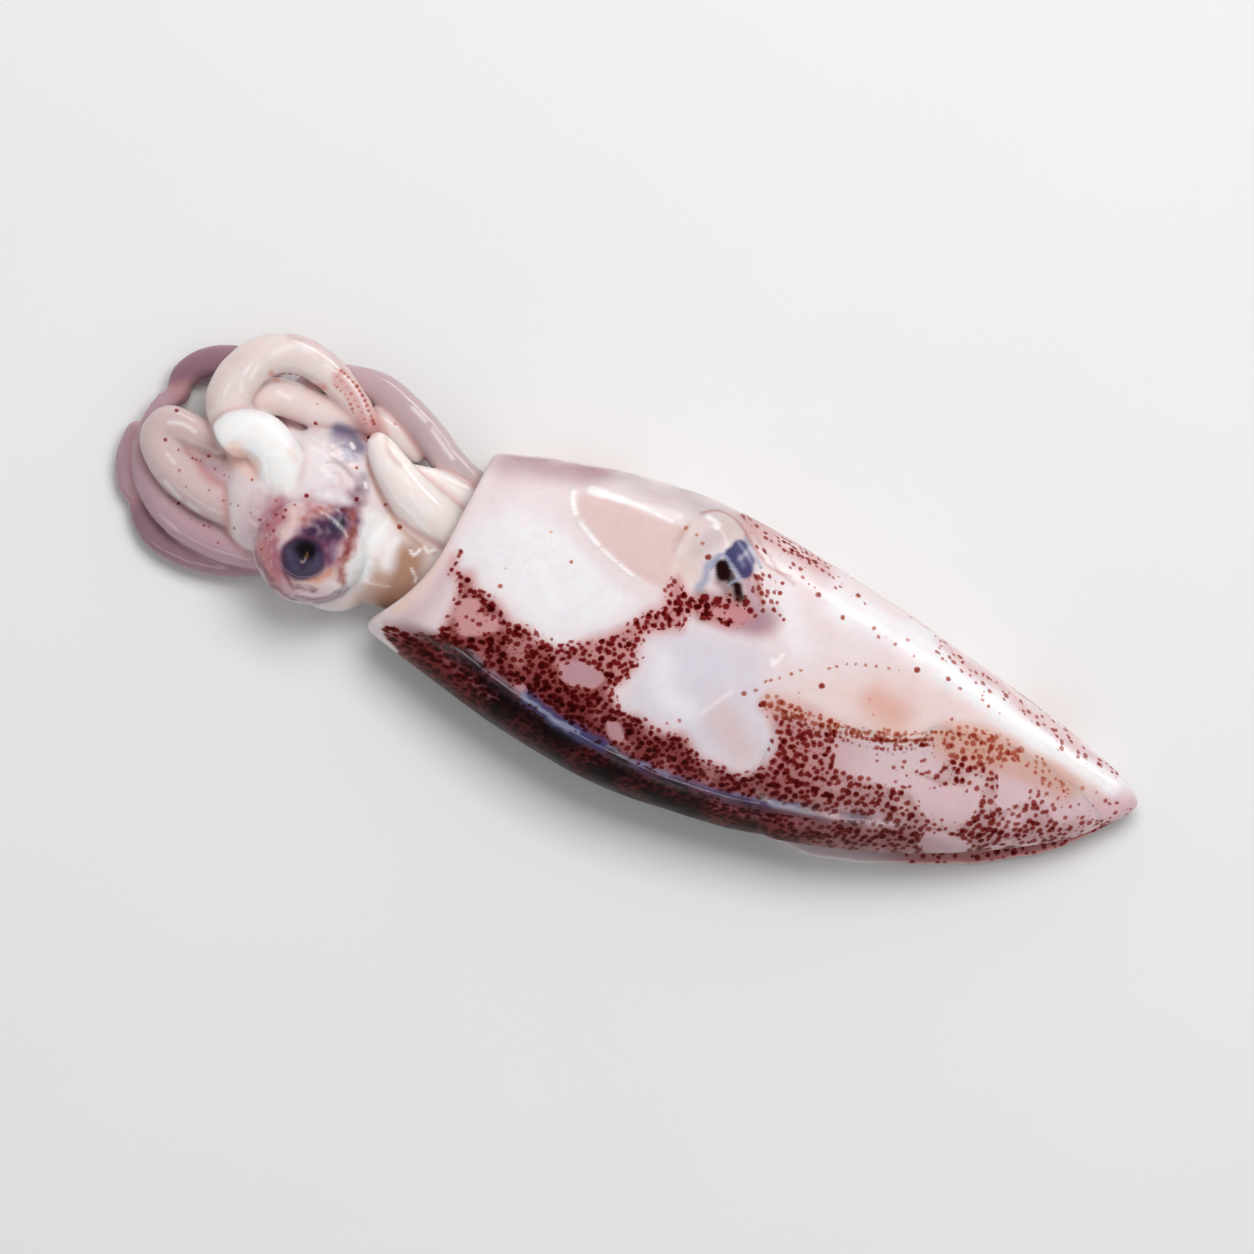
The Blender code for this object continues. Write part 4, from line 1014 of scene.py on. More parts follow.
def skin_colours(colours, plan, height, density):
    """The colour between the spots, and how far the spots are the warm ones of a fin's edge."""
    place = np.c_[plan, height]
    drifted = plan + 0.8 * drift_at(place, 5.0, 5)
    shaken = plan + 0.35 * drift_at(place, 1.5, 17)
    rim = patch_mask(plan, COLLAR_RIM)
    ground = covered(len(plan), colours.cream)
    paint_bare_skin(ground, colours, plan, drifted, shaken)
    paint_dotted_skin(ground, colours, plan, drifted, density, rim)
    warmth = paint_fin_edge(ground, colours, plan[:, 0], drifted)
    paint_flank(ground, colours, plan, place, rim)
    fold, streak, gleam = slate_folds(plan)
    paint(ground, 0.7 * fold, colours.navy)
    paint(ground, 0.5 * streak, colours.slate)
    # Painted highlights beside the ridge folds
    paint(ground, 0.3 * gleam, colours.mist)
    paint_strokes(ground, colours, RIDGE_STROKES, shaken)
    paint(ground, 0.9 * rim, colours.cream)
    # Painted highlights in the gleam colour
    paint_strokes(ground, colours, [("gleam", *stroke) for stroke in PAINTED_HIGHLIGHTS], plan)
    return ground, warmth


def slate_folds(plan):
    """Dark patches along the ridge, bluish streaks in them, and pale gleams beside them, which are painted
    highlights.
    """
    away, share = from_line(plan, smooth_route(RIDGE_LINE, 60))
    across = np.copysign(away, above_ridge(plan))
    place = np.c_[share * 75, across * 6, np.zeros(len(plan))]
    ends = smoothstep(0.02, 0.2, share) * (1 - smoothstep(0.8, 1.0, share))
    folds = []
    for middle, width, low, high, size, seed in (
        (-0.2, 0.9, -0.25, 0.15, 6.0, 14),
        (0.0, 0.6, 0.10, 0.30, 5.0, 19),
        (0.2, 0.6, 0.22, 0.40, 4.5, 15),
    ):
        broken = smoothstep(low, high, noise_at(place, size, seed))
        folds.append(ends * broken * np.exp(-(((across - middle) / width) ** 2)))
    return folds


def wetness(plan, density):
    """How wet the skin is: wettest where it is bare, and along the ridge and the far edge."""
    bare = 0.35 * (1 - smoothstep(0.1, 0.5, density))
    level = np.max([bare, *(stroke_mask(plan, stroke) for stroke in WET_PLACES)], axis=0)
    uneven = (0.7 + 0.8 * noise_at(np.c_[plan, 0 * plan[:, :1]], 2.5, 20)).clip(0, 1)
    return np.maximum(level * uneven, 0.18 - 0.10 * smoothstep(-1.0, -2.5, above_ridge(plan)))


def underside(colours, points, x, angle):
    """The underside's ground and how thick its spots are: dark and spotted on the back, pale elsewhere."""
    back = smoothstep(0.1, -0.7, np.cos(angle))
    density = np.maximum(0.9 * back, 0.08 + 0.4 * smoothstep(0.0, 0.4, noise_at(points, 16.0, 8)))
    ground = covered(len(points), colours.cream)
    paint(ground, smoothstep(0.1, 0.6, density), colours.rosy)
    paint(ground, 0.9 * back, colours.wine)
    paint(ground, back * (1 - smoothstep(24, 40, x)), colours.dark)
    return ground, density


def paint_skin(piece, colours, points, angle, inside=0.0):
    """Gives the skin its ground, spots and wetness. inside is 1 within the collar, which has no spots.

    The pattern is drawn from above, so on the steep far side it drifts, or it would run into stripes.
    """
    plan, height, angle = points[:, :2], points[:, 2], angle.ravel()
    steep = smoothstep(0.55, 0.0, np.sin(angle)) * smoothstep(-0.3, 0.3, np.cos(angle))
    upper = smoothstep(-0.35, 0.0, np.sin(angle) - steep * (0.22 + 0.5 * noise_at(points, 5.0, 21)))
    plan = plan + 6.0 * steep[:, None] * drift_at(points, 7.0, 22)
    density = spot_density(plan, height)
    ground, warmth = skin_colours(colours, plan, height, density)
    below, below_density = underside(colours, points, plan[:, 0], angle)
    density = (density * upper + below_density * (1 - upper)) * (1 - inside)
    ground = ground * upper[:, None] + below * (1 - upper[:, None])
    paint(ground, np.broadcast_to(inside, len(ground)), colours.shell)
    streaks = (0.8 * stroke_mask(plan, stroke) for _, *stroke in RIDGE_STROKES)
    slate = upper * np.max([*slate_folds(plan), *streaks], axis=0)
    marks, tone = from_marks(plan, with_rows(SKIN_MARKS, SKIN_ROWS))
    set_colours(piece.data, "ground", ground)
    for name, values in {
        "spots": density * (1 - 0.85 * smoothstep(0.3, 0.7, slate)),
        "warmth": warmth * upper,
        "wet": wetness(plan, density) * upper + 0.3 * (1 - upper),
        "marks": marks + MARK_REACH * np.maximum(1 - upper, inside),
        "mark_tone": tone,
    }.items():
        set_values(piece.data, name, values)


# Materials


def solid(colour):
    return (*colour[:3], 1.0)


def spot_colour(tree, colours, warmth, core):
    """What a spot's pigment lets through: its ring's colour, and where core is 1 its middle's."""
    ring = tree.mix(warmth, solid(colours.spot_ring), solid(colours.spot_warm))
    middle = tree.mix(warmth, solid(colours.spot_core), solid(colours.warm_core))
    return tree.mix(core, ring, middle)


def spot_layer(tree, colours, skin, place, density, warmth, spacing, size):
    """How far a spot covers the skin, and its colour: one spot at most for each spacing, in millimetres."""
    wobble = tree.vector("SUBTRACT", tree.grain(place, 1600.0, 1.0)["Color"], (0.5, 0.5, 0.5))
    shaken = tree.vector("ADD", skin, tree.scaled(wobble, SPOT_SHAKE * MM))
    cells = tree.add("ShaderNodeTexVoronoi", {
        "Vector": shaken, "Scale": 1 / (spacing * MM), "Randomness": 0.85}, voronoi_dimensions="2D")
    dice = tree.add("ShaderNodeSeparateColor", {0: cells.outputs["Color"]}).outputs
    room = tree.math("SUBTRACT", density, dice[0])
    largest = tree.ramp(dice[1], 0.0, 1.0, size * 0.62, size)
    radius = tree.math("MULTIPLY", tree.ramp(room, -0.05, 0.15), largest)
    radius = tree.math("MULTIPLY", radius, tree.ramp(density, 0.15, 0.8, 0.74, 1.0))
    inside = tree.math("SUBTRACT", radius, cells.outputs["Distance"])
    cover = tree.math("MULTIPLY", tree.ramp(inside, -0.10, 0.06), tree.ramp(room, 0.0, 0.03))
    core = tree.math("MULTIPLY", tree.ramp(inside, 0.0, 0.16), tree.ramp(density, 0.3, 0.9, 0.25, 1.0))
    return cover, spot_colour(tree, colours, warmth, core)


def flesh_shader(material_name, colours, skin):
    """Wet, translucent flesh. skin adds pigment spots, which follow the UV map "skin"."""
    made, tree, shader = new_material(material_name)
    place = tree.add("ShaderNodeTexCoord").outputs["Object"]
    colour = tree.add("ShaderNodeAttribute", attribute_name="ground").outputs["Color"]
    mottle = tree.grain(place, 260.0, 4.0)[0]
    fine = tree.grain(place, 900.0, 3.0)[0]
    colour = tree.mix(tree.ramp(mottle, 0.4, 0.75, 0.0, 0.14), colour, solid(colours.cream), "MULTIPLY")
    colour = tree.mix(tree.ramp(fine, 0.42, 0.7, 0.0, 0.05), colour, solid(colours.lilac), "MULTIPLY")
    if skin:
        flat = tree.add("ShaderNodeUVMap", uv_map="skin").outputs[0]
        density, warmth = tree.value("spots"), tree.value("warmth")
        for share, spacing, size, strength in SPOT_LAYERS:
            thickness = tree.math("MULTIPLY", density, share)
            cover, spot = spot_layer(tree, colours, flat, place, thickness, warmth, spacing, size)
            colour = tree.mix(tree.math("MULTIPLY", cover, strength), colour, spot, "MULTIPLY")
    outside = tree.math("ADD", tree.value("marks"), tree.ramp(fine, 0.3, 0.7, -0.09, 0.09))
    mark = spot_colour(tree, colours, tree.value("mark_tone"), tree.ramp(outside, -0.06, -0.22))
    colour = tree.mix(tree.ramp(outside, 0.04, -0.07), colour, mark, "MULTIPLY")
    height = tree.math("ADD", mottle, tree.math("MULTIPLY", fine, 0.3))
    bump, film = (
        tree.add("ShaderNodeBump", {"Height": source, "Strength": strength, "Distance": GRAIN_DEPTH * MM})
        for source, strength in ((height, 0.10), (mottle, 0.12))
    )
    tree.feed(shader, {
        "Base Color": colour, "Normal": bump.outputs[0], "Coat Normal": film.outputs[0],
        "Roughness": tree.ramp(mottle, 0.3, 0.7, 0.26, 0.42), **FLESH_FINISH,
    })
    if skin:
        tree.feed(shader, {"Coat Weight": tree.value("wet")})
    return made


# Property groups


def number(name, description, default, **settings):
    return bpy.props.FloatProperty(name=name, description=description, default=default, **settings)


def length(name, description, default):
    return number(name, description, default, min=0.0, unit="LENGTH", subtype="DISTANCE", precision=5)


def tint(name, description, default):
    return bpy.props.FloatVectorProperty(name=name, description=description, default=default, size=3, min=0.0,
                                         max=1.0, subtype="COLOR")


class SquidBody(bpy.types.PropertyGroup):
    mantle_length: length("Mantle length", "Length of the body tube along its curve", 0.097)
    half_width: length("Half width", "Half of the mantle's greatest width", 0.02015)
    wall: length("Wall", "Thickness of the mantle at its open front edge", 0.0016)
    fin_thickness: length("Fin thickness", "Thickness of a fin near its root", 0.0007)
    voxel: length("Flesh detail", "Size of the smallest form of the head and the arms", 0.0003)
    sucker: length("Sucker", "Diameter of the largest suckers", 0.0009)


class SquidColours(bpy.types.PropertyGroup):
    # White: bare flesh, and painted highlights along the tail's far edge, beside the lump and at the top of
    # the eye
    white: tint("White", "Bare flesh", (0.89, 0.86, 0.89))
    pearl: tint("Pearl", "Bare flesh under a thin skin", (0.74, 0.69, 0.76))
    # Gleam: the brightest white, for white flesh and for painted highlights on wet edges
    gleam: tint("Gleam", "Wet edges and places that show white", (0.97, 0.95, 0.95))
    cream: tint("Cream", "Thinly skinned flesh", (0.83, 0.72, 0.74))
    beige: tint("Beige", "Translucent panel over the belly", (0.74, 0.55, 0.53))
    peach: tint("Peach", "Warm flesh under the fins", (0.82, 0.64, 0.61))
    sandy: tint("Sandy", "Lump on the belly and skin at a fin's edge", (0.80, 0.62, 0.54))
    lilac: tint("Lilac", "Bare skin between fields of spots", (0.50, 0.30, 0.35))
    rosy: tint("Rosy", "Skin between the spots", (0.62, 0.27, 0.27))
    pink: tint("Pink", "Bare skin between the spots near the tail", (0.76, 0.54, 0.59))
    red: tint("Red", "Skin where the spots are thick", (0.28, 0.052, 0.047))
    wine: tint("Wine", "Skin where the spots are thickest", (0.17, 0.022, 0.024))
    # Dark: skin along the back, deepened on the flank by painted shade
    dark: tint("Dark", "Skin along the back", (0.016, 0.002, 0.003))
    orange: tint("Orange", "Glow of a fin's edge", (0.72, 0.32, 0.22))
    rust: tint("Rust", "Streaks of pigment", (0.42, 0.14, 0.11))
    brown: tint("Brown", "Dried pigment", (0.22, 0.09, 0.08))
    slate: tint("Slate", "Silvery blue patches", (0.07, 0.06, 0.165))
    mist: tint("Mist", "Pale blue sheen", (0.36, 0.38, 0.52))
    spot_core: tint("Spot core", "Filter of the middle of a pigment spot", (0.33, 0.028, 0.033))
    spot_ring: tint("Spot ring", "Filter of the outer part of a pigment spot", (0.52, 0.20, 0.19))
    spot_warm: tint("Warm spot", "Filter of the outer part of a spot at a fin's edge", (0.86, 0.58, 0.48))
    warm_core: tint("Warm core", "Filter of the middle of a spot at a fin's edge", (0.62, 0.25, 0.18))
    ivory: tint("Ivory", "Arms", (0.82, 0.72, 0.70))
    milky: tint("Milky", "Funnel", (0.93, 0.84, 0.82))
    glow: tint("Glow", "Arm that light shines through", (0.97, 0.66, 0.58))
    shell: tint("Shell", "Arms under the upper ones", (0.66, 0.52, 0.52))
    dusk: tint("Dusk", "Shaded flesh of the far side", (0.58, 0.48, 0.49))
    mauve: tint("Mauve", "Arms on the near side", (0.52, 0.35, 0.40))
    # Crevice: painted shade in the folds between forms
    crevice_shade: tint("Crevice", "Flesh deep in a fold", (0.60, 0.28, 0.26))
    # Blush: the lowest arms' pink, darkened as painted shade
    blush_and_low_shade: tint("Blush", "Lowest arms", (0.42, 0.27, 0.32))
    tan: tint("Tan", "Neck inside the collar", (0.46, 0.24, 0.15))
    # Plum: dark skin round an eye, and painted shade at the tips of the far and low arms
    plum: tint("Plum", "Dark skin round an eye", (0.16, 0.05, 0.10))
    violet: tint("Violet", "Smear beside an eye", (0.17, 0.055, 0.13))
    navy: tint("Navy", "Iris", (0.045, 0.028, 0.065))
    ink: tint("Ink", "Pupil", (0.008, 0.005, 0.008))
    gold: tint("Gold", "Glint in the pupil", (0.30, 0.14, 0.06))
    rose: tint("Rose", "Skin of an eye", (0.48, 0.18, 0.23))


class SquidStage(bpy.types.PropertyGroup):
    view_width: length("View width", "Width that the camera sees at the floor", 0.165)
    lens: number("Lens", "Focal length in millimetres", 400.0)
    horizon: number("Horizon", "Brightness of the walls low down", 0.80)
    walls: number("Walls", "Brightness of the walls above that", 0.42)
    soft_box: number("Soft box", "Power of the light above", 2.35, unit="POWER")
    far_strip: number("Far strip", "Power of the long light beyond the squid", 5.0, unit="POWER")
    near_strip: number("Near strip", "Power of the bluish light on the near side", 2.0, unit="POWER")


# Operators


class SQUID_OT_mantle(bpy.types.Operator):
    """Build the mantle's skin with its open collar"""

    bl_idname = "squid.mantle"
    bl_label = "Mantle"

    columns = 290
    rows = 290
    # How much closer together the columns are on top, and the rows at the lump and near the tail
    top_crowding = 0.34
    lump_crowding = 0.055
    tail_crowding = 1.25
    lump_row = 0.31
    # Rings on the floor of the collar: shares of the half width and of the collar's depth
    floor_rings = ((0.001, 1.0), (0.25, 1.0), (0.5, 0.99), (0.7, 0.96), (0.82, 0.9))

    def profile(self, body):
        """(share of the half width, along) from the middle of the collar's floor to the tail."""
        size, wall = body.mantle_length / MM, body.wall / MM
        edge = wall / 2
        points = [(share, COLLAR_DEPTH * depth) for share, depth in self.floor_rings]
        for along in COLLAR_DEPTH * np.linspace(0.8, 0.12, 9):
            points.append((1 - wall / half_width(body, along), along))
        width = half_width(body, np.float64(edge / size))
        for turn in np.linspace(0, math.pi, 9):
            share = (width - edge - edge * math.cos(turn)) / width
            points.append((share, edge / size * (1 - math.sin(turn))))
        step = np.linspace(0, 1, self.rows + 1)[1:]
        wave = np.sin(2 * math.pi * (step - self.lump_row)) + math.sin(2 * math.pi * self.lump_row)
        step = step - self.lump_crowding * wave
        outside = edge / size + (1 - edge / size) * (1 - (1 - step) ** self.tail_crowding)
        return np.array(points + [(1.0, along) for along in outside])

    def execute(self, context):
        body, colours = context.scene.squid_body, context.scene.squid_colours
        profile = self.profile(body)
        turns = np.linspace(-math.pi, math.pi, self.columns, endpoint=False)
        turns = math.pi / 2 + turns - self.top_crowding * np.sin(turns)
        along, angle = np.meshgrid(profile[:, 1], turns, indexing="ij")
        share = np.repeat(profile[:, :1], self.columns, axis=1)
        points = on_mantle(body, along, angle, share)
        relief = skin_relief(points, along, angle) * smoothstep(0.9, 1.0, share)
        points = points + grid_normals(points) * relief[..., None]
        points[..., 2] = np.maximum(points[..., 2], 0.0)
        points, along, angle, share = (
            np.concatenate([grid, grid[:, :1]], axis=1) for grid in (points, along, angle, share))
        angle[:, -1] += 2 * math.pi
        flat = points.reshape(-1, 3)
        piece = new_object("mantle_skin", flat * MM + SHIFT, grid_faces(*along.shape, wrap=False)[:, ::-1])
        set_map(piece.data, skin_map(body, along, angle).reshape(-1, 2))
        paint_skin(piece, colours, flat, angle, smoothstep(0.975, 0.945, share).ravel())
        close_ends(piece.data)
        piece.data.materials.append(flesh_shader("mantle_skin", colours, skin=True))
        finish_piece(piece, "mantle_skin", "mantle")
        return {"FINISHED"}


def close_ends(mesh):
    """Merges the points at the seam and the poles, and turns all faces outwards."""
    shape = bmesh.new()
    shape.from_mesh(mesh)
    bmesh.ops.remove_doubles(shape, verts=shape.verts, dist=0.00002)
    bmesh.ops.holes_fill(shape, edges=[edge for edge in shape.edges if edge.is_boundary])
    bmesh.ops.recalc_face_normals(shape, faces=shape.faces)
    shape.to_mesh(mesh)
    shape.free()


def widened(u, length):
    """How far a fin has widened at u: a quarter circle over that length from its front."""
    return np.sqrt(np.maximum(1 - (1 - np.minimum(u / length, 1)) ** 2, 0.1))


class SQUID_OT_fins(bpy.types.Operator):
    """Build both fins: the near one folded over the mantle, the far one under it"""

    bl_idname = "squid.fins"
    bl_label = "Fins"

    # Points from front to tail and from root to edge
    near_grid = (280, 120)
    far_grid = (200, 26)
    # How deep the near fin's root, its front, its tail and its edge lie in the skin, in millimetres
    root_depth = 1.1
    front_depth = 1.0
    tail_depth = 0.9
    edge_depth = 0.30
    # How deep the far fin's root is in the mantle, and how high its edge lies
    far_root_depth = 0.8
    far_edge_height = 0.55
    floor_gap = 0.02

    def near_sheet(self, body, u, v):
        """Middle, half thickness, place along and angle of the fin that lies over the mantle."""
        start = FIN_ROOT_START + (FIN_EDGE_START - FIN_ROOT_START) * v
        along = start + (FIN_END - start) * u
        swell = FIN_SWELL * np.sin(math.pi * u**FIN_SWELL_POWER) ** 2
        angle = BACK_ANGLE - (FIN_SPAN + swell) * widened(u, NEAR_FIN_CORNER) * v
        thickness = body.fin_thickness / MM
        proud = (self.root_depth + 0.25 * thickness) * smoothstep(0.0, 0.22, v) - self.root_depth
        proud = proud - self.tail_depth * smoothstep(0.86, 1.0, u)
        proud = proud - self.front_depth * (1 - smoothstep(0.0, 0.10, u))
        proud = proud - self.edge_depth * smoothstep(0.7, 1.0, v)
        middle = on_mantle(body, along, angle, out=proud)
        ripple = noise_at(middle.reshape(-1, 3), 6.0, 11).reshape(u.shape)
        middle = on_mantle(body, along, angle, out=proud + 0.12 * ripple * smoothstep(0.6, 1.0, v))
        half = thickness / 2 * np.sqrt(np.clip(1 - np.maximum(0, (v - 0.955) / 0.045) ** 2, 0.0, 1))
        half = half * (1 - 0.6 * smoothstep(0.6, 0.97, v))
        half = half * (1 - 0.75 * smoothstep(0.9, 1.0, u)) * np.sqrt(np.clip(u / 0.012, 0.02, 1))
        return middle, half, along, angle

    def far_sheet(self, body, u, v):
        """The same for the fin under the mantle, whose edge shows beyond the back."""
        along = FIN_EDGE_START + (FIN_END - FIN_EDGE_START) * u
        middle, across = spine(body, along)
        root = on_mantle(body, along, FAR_FIN_ROOT, out=-self.far_root_depth)
        root[..., 2] = np.maximum(root[..., 2], 0.5)
        wave = 0.25 * np.sin(u * 21) + 0.15 * np.sin(u * 47 + 1)
        past_back = (FAR_FIN_EDGE + 0.5 * wave) * widened(u, FAR_FIN_CORNER) * (1 - smoothstep(0.82, 1.0, u))
        plan = middle - across * (half_width(body, along) + past_back)[..., None]
        edge = np.concatenate([plan, (TAIL_LIFT * along**4 / 2)[..., None]], axis=-1)
        edge[..., 2] += self.far_edge_height + 0.35 * wave
        sheet = root + (edge - root) * (v * (0.5 + 0.5 * smoothstep(0.0, 0.3, u)))[..., None]
        half = body.fin_thickness / MM / 2 * (1 - 0.5 * v)
        half = half * np.sqrt(np.clip(1 - np.maximum(0, (v - 0.9) / 0.1) ** 2, 0, 1))
        return sheet, half, along, BACK_ANGLE + math.radians(14) * v

    def pale(self, piece, colours):
        """The far fin shows its underside, which has few spots but near the tail."""
        points = in_millimetres(piece)
        rear = smoothstep(40, 48, points[:, 0])
        ground = covered(len(points), colours.cream)
        paint(ground, smoothstep(-0.2, 0.5, noise_at(points, 7.0, 12)) * 0.7, colours.lilac)
        paint(ground, 0.8 * rear, colours.rosy)
        density = np.maximum(0.12 * smoothstep(0.0, 0.5, noise_at(points, 6.0, 13)), 0.55 * rear)
        set_values(piece.data, "spots", density)
        set_colours(piece.data, "ground", ground)

    def execute(self, context):
        body, colours = context.scene.squid_body, context.scene.squid_colours
        for name, size, sheet in (
            ("near_fin", self.near_grid, self.near_sheet), ("far_fin", self.far_grid, self.far_sheet),
        ):
            far = name == "far_fin"
            u, v = np.meshgrid(np.linspace(0, 1, size[0]) ** 1.3, np.linspace(0, 1, size[1]), indexing="ij")
            middle, half, along, angle = sheet(body, u, v)
            normals = unit(np.cross(np.gradient(middle, axis=1), np.gradient(middle, axis=0)))
            normals *= np.sign(normals[..., 2:] + 1e-6) if far else 1
            sides = [middle + normals * half[..., None], middle - normals * half[..., None]]
            flat = np.concatenate([side.reshape(-1, 3) for side in sides])
            flat[:, 2] = np.maximum(flat[:, 2], self.floor_gap)
            top, around, under = grid_faces(*u.shape, wrap=False), border(*u.shape), len(flat) // 2
            rim = [(a, b, b + under, a + under) for a, b in zip(around, around[1:] + around[:1])]
            piece = new_object(name, flat * MM + SHIFT, np.concatenate([top, top[:, ::-1] + under, rim]))
            spread = middle[..., :2] * MM if far else skin_map(body, along, angle)
            set_map(piece.data, np.tile(spread.reshape(-1, 2), (2, 1)))
            paint_skin(piece, colours, flat, np.concatenate([angle, angle]))
            if far:
                self.pale(piece, colours)
            close_ends(piece.data)
            piece.data.materials.append(flesh_shader(name, colours, skin=True))
            finish_piece(piece, "mantle_skin", "mantle")
        return {"FINISHED"}


def border(rows, columns):
    """The points round a grid's edge, in order."""
    first = list(range(columns))
    right = [row * columns + columns - 1 for row in range(1, rows)]
    last = [(rows - 1) * columns + column for column in range(columns - 2, -1, -1)]
    left = [row * columns for row in range(rows - 2, 0, -1)]
    return first + right + last + left


# Head and arms


def arm_curve(name, route, steps=90):
    """A curve object through the route."""
    data = bpy.data.curves.new(name, "CURVE")
    data.dimensions = "3D"
    line = data.splines.new("POLY")
    line.points.add(steps - 1)
    places = smooth_route(route, steps) * MM + SHIFT
    line.points.foreach_set("co", np.c_[places, np.ones(steps)].ravel())
    return link_object(name, data)


def new_group(name, inputs):
    """A Geometry Nodes group, its tree, inputs and output node; inputs is given as (name, kind, default)."""
    group = bpy.data.node_groups.new(name, "GeometryNodeTree")
    for way in ("INPUT", "OUTPUT"):
        group.interface.new_socket("Geometry", in_out=way, socket_type="NodeSocketGeometry")
    for label, kind, default in inputs:
        socket = group.interface.new_socket(label, in_out="INPUT", socket_type="NodeSocket" + kind)
        if default is not None:
            socket.default_value = default
    tree = Tree(group)
    return group, tree, tree.add("NodeGroupInput").outputs, tree.add("NodeGroupOutput")


def with_group(source, group, values):
    """Puts the group on source, with these values for its named inputs."""
    modifier = source.modifiers.new(group.name, "NODES")
    modifier.node_group = group
    for socket in group.interface.items_tree:
        if socket.item_type == "SOCKET" and socket.in_out == "INPUT" and socket.name in values:
            modifier[socket.identifier] = values[socket.name]
    return source


def taper_radius(tree, inputs):
    """The radius along an arm: from root to tip by the taper, rounded off at the very tip."""
    share = tree.add("GeometryNodeSplineParameter").outputs["Factor"]
    thinned = tree.math("POWER", share, inputs["Taper"])
    span = tree.math("SUBTRACT", inputs["Tip radius"], inputs["Root radius"])
    radius = tree.math("ADD", inputs["Root radius"], tree.math("MULTIPLY", span, thinned))
    last = tree.math("DIVIDE", tree.math("SUBTRACT", 1.0, share), inputs["Tip share"], clamp=True)
    back = tree.math("SUBTRACT", 1.0, last)
    round_off = tree.math("SQRT", tree.math("SUBTRACT", 1.02, tree.math("MULTIPLY", back, back)))
    return tree.math("MULTIPLY", radius, round_off)


ARM_INPUTS = [
    ("Root radius", "Float", 0.003), ("Tip radius", "Float", 0.0015), ("Taper", "Float", ARM_TAPER),
    ("Tip share", "Float", ARM_TIP),
]


def arm_group():
    """Sweeps a round section along a curve, tapered, with a rounded tip."""
    more_inputs = [("Sides", "Int", 24), ("Material", "Material", None)]
    group, tree, inputs, out = new_group("arm", ARM_INPUTS + more_inputs)
    section = tree.add("GeometryNodeCurvePrimitiveCircle", {"Resolution": inputs["Sides"], "Radius": 1.0})
    swept = tree.add("GeometryNodeCurveToMesh", {
        "Curve": inputs["Geometry"], "Profile Curve": section.outputs[0],
        "Scale": taper_radius(tree, inputs), "Fill Caps": True,
    })
    finish_group(tree, swept.outputs[0], inputs, out)
    return group


def sucker_group():
    """Two rows of suckers along a curve, on the side that Facing names, smaller towards the tip."""
    group, tree, inputs, out = new_group("suckers", ARM_INPUTS + [
        ("Facing", "Vector", (0.0, 0.0, -1.0)), ("Spacing", "Float", 0.0007), ("Diameter", "Float", 0.0011),
        ("Spread", "Float", 0.5), ("Sucker", "Object", None), ("Material", "Material", None),
    ])
    sized = tree.add("GeometryNodeSetCurveRadius", {
        "Curve": inputs["Geometry"], "Radius": taper_radius(tree, inputs)})
    dots = tree.add("GeometryNodeCurveToPoints", {"Curve": sized.outputs[0], "Length": inputs["Spacing"]},
                    mode="LENGTH").outputs
    radius = tree.add("GeometryNodeInputRadius").outputs[0]
    along = tree.vector("DOT_PRODUCT", inputs["Facing"], dots["Tangent"])
    level = tree.vector("SUBTRACT", inputs["Facing"], tree.scaled(dots["Tangent"], along))
    facing = tree.vector("NORMALIZE", level)
    across = tree.vector("CROSS_PRODUCT", dots["Tangent"], facing)
    index = tree.add("GeometryNodeInputIndex").outputs[0]
    side = tree.math("SUBTRACT", tree.math("MULTIPLY", tree.math("MODULO", index, 2.0), 2.0), 1.0)
    turn = tree.math("MULTIPLY", side, inputs["Spread"])
    outward = tree.vector("ADD", tree.scaled(facing, tree.math("COSINE", turn)),
                          tree.scaled(across, tree.math("SINE", turn)))
    moved = tree.add("GeometryNodeSetPosition", {
        "Geometry": dots["Points"], "Offset": tree.scaled(outward, tree.math("MULTIPLY", radius, 0.97))})
    aimed = tree.add("FunctionNodeAlignRotationToVector", {"Vector": outward}, axis="Z")
    shape = tree.add("GeometryNodeObjectInfo", {"Object": inputs["Sucker"]}, transform_space="ORIGINAL")
    fitted = tree.math("MINIMUM", inputs["Diameter"], tree.math("MULTIPLY", radius, 0.5))
    random = tree.add("FunctionNodeRandomValue", {2: 0.85, 3: 1.1, "Seed": 4}, data_type="FLOAT").outputs[1]
    put = tree.add("GeometryNodeInstanceOnPoints", {
        "Points": moved.outputs[0], "Instance": shape.outputs["Geometry"], "Rotation": aimed.outputs[0],
        "Scale": tree.math("MULTIPLY", fitted, random),
    })
    finish_group(tree, put.outputs[0], inputs, out)
    return group


def finish_group(tree, shape, inputs, out):
    """Makes instances real and gives the shape its material."""
    real = tree.add("GeometryNodeRealizeInstances", {"Geometry": shape}).outputs[0]
    dressed = tree.add("GeometryNodeSetMaterial", {"Geometry": real, "Material": inputs["Material"]})
    tree.feed(out, {"Geometry": dressed.outputs[0]})


def arm_inputs(thick, thin):
    """Values for the inputs that the arms and their rows of suckers share."""
    return {"Root radius": thick * MM, "Tip radius": thin * MM, "Taper": ARM_TAPER, "Tip share": ARM_TIP}


def ball(name, middle, radii):
    """A closed ellipsoid in the frame, as a mesh object."""
    shape = bmesh.new()
    place = Matrix.Translation(Vector(middle) * MM + Vector(SHIFT))
    place = place @ Matrix.Diagonal((*(Vector(radii) * MM), 1.0))
    bmesh.ops.create_uvsphere(shape, u_segments=48, v_segments=32, radius=1.0, matrix=place)
    mesh = bpy.data.meshes.new(name)
    shape.to_mesh(mesh)
    shape.free()
    return link_object(name, mesh)


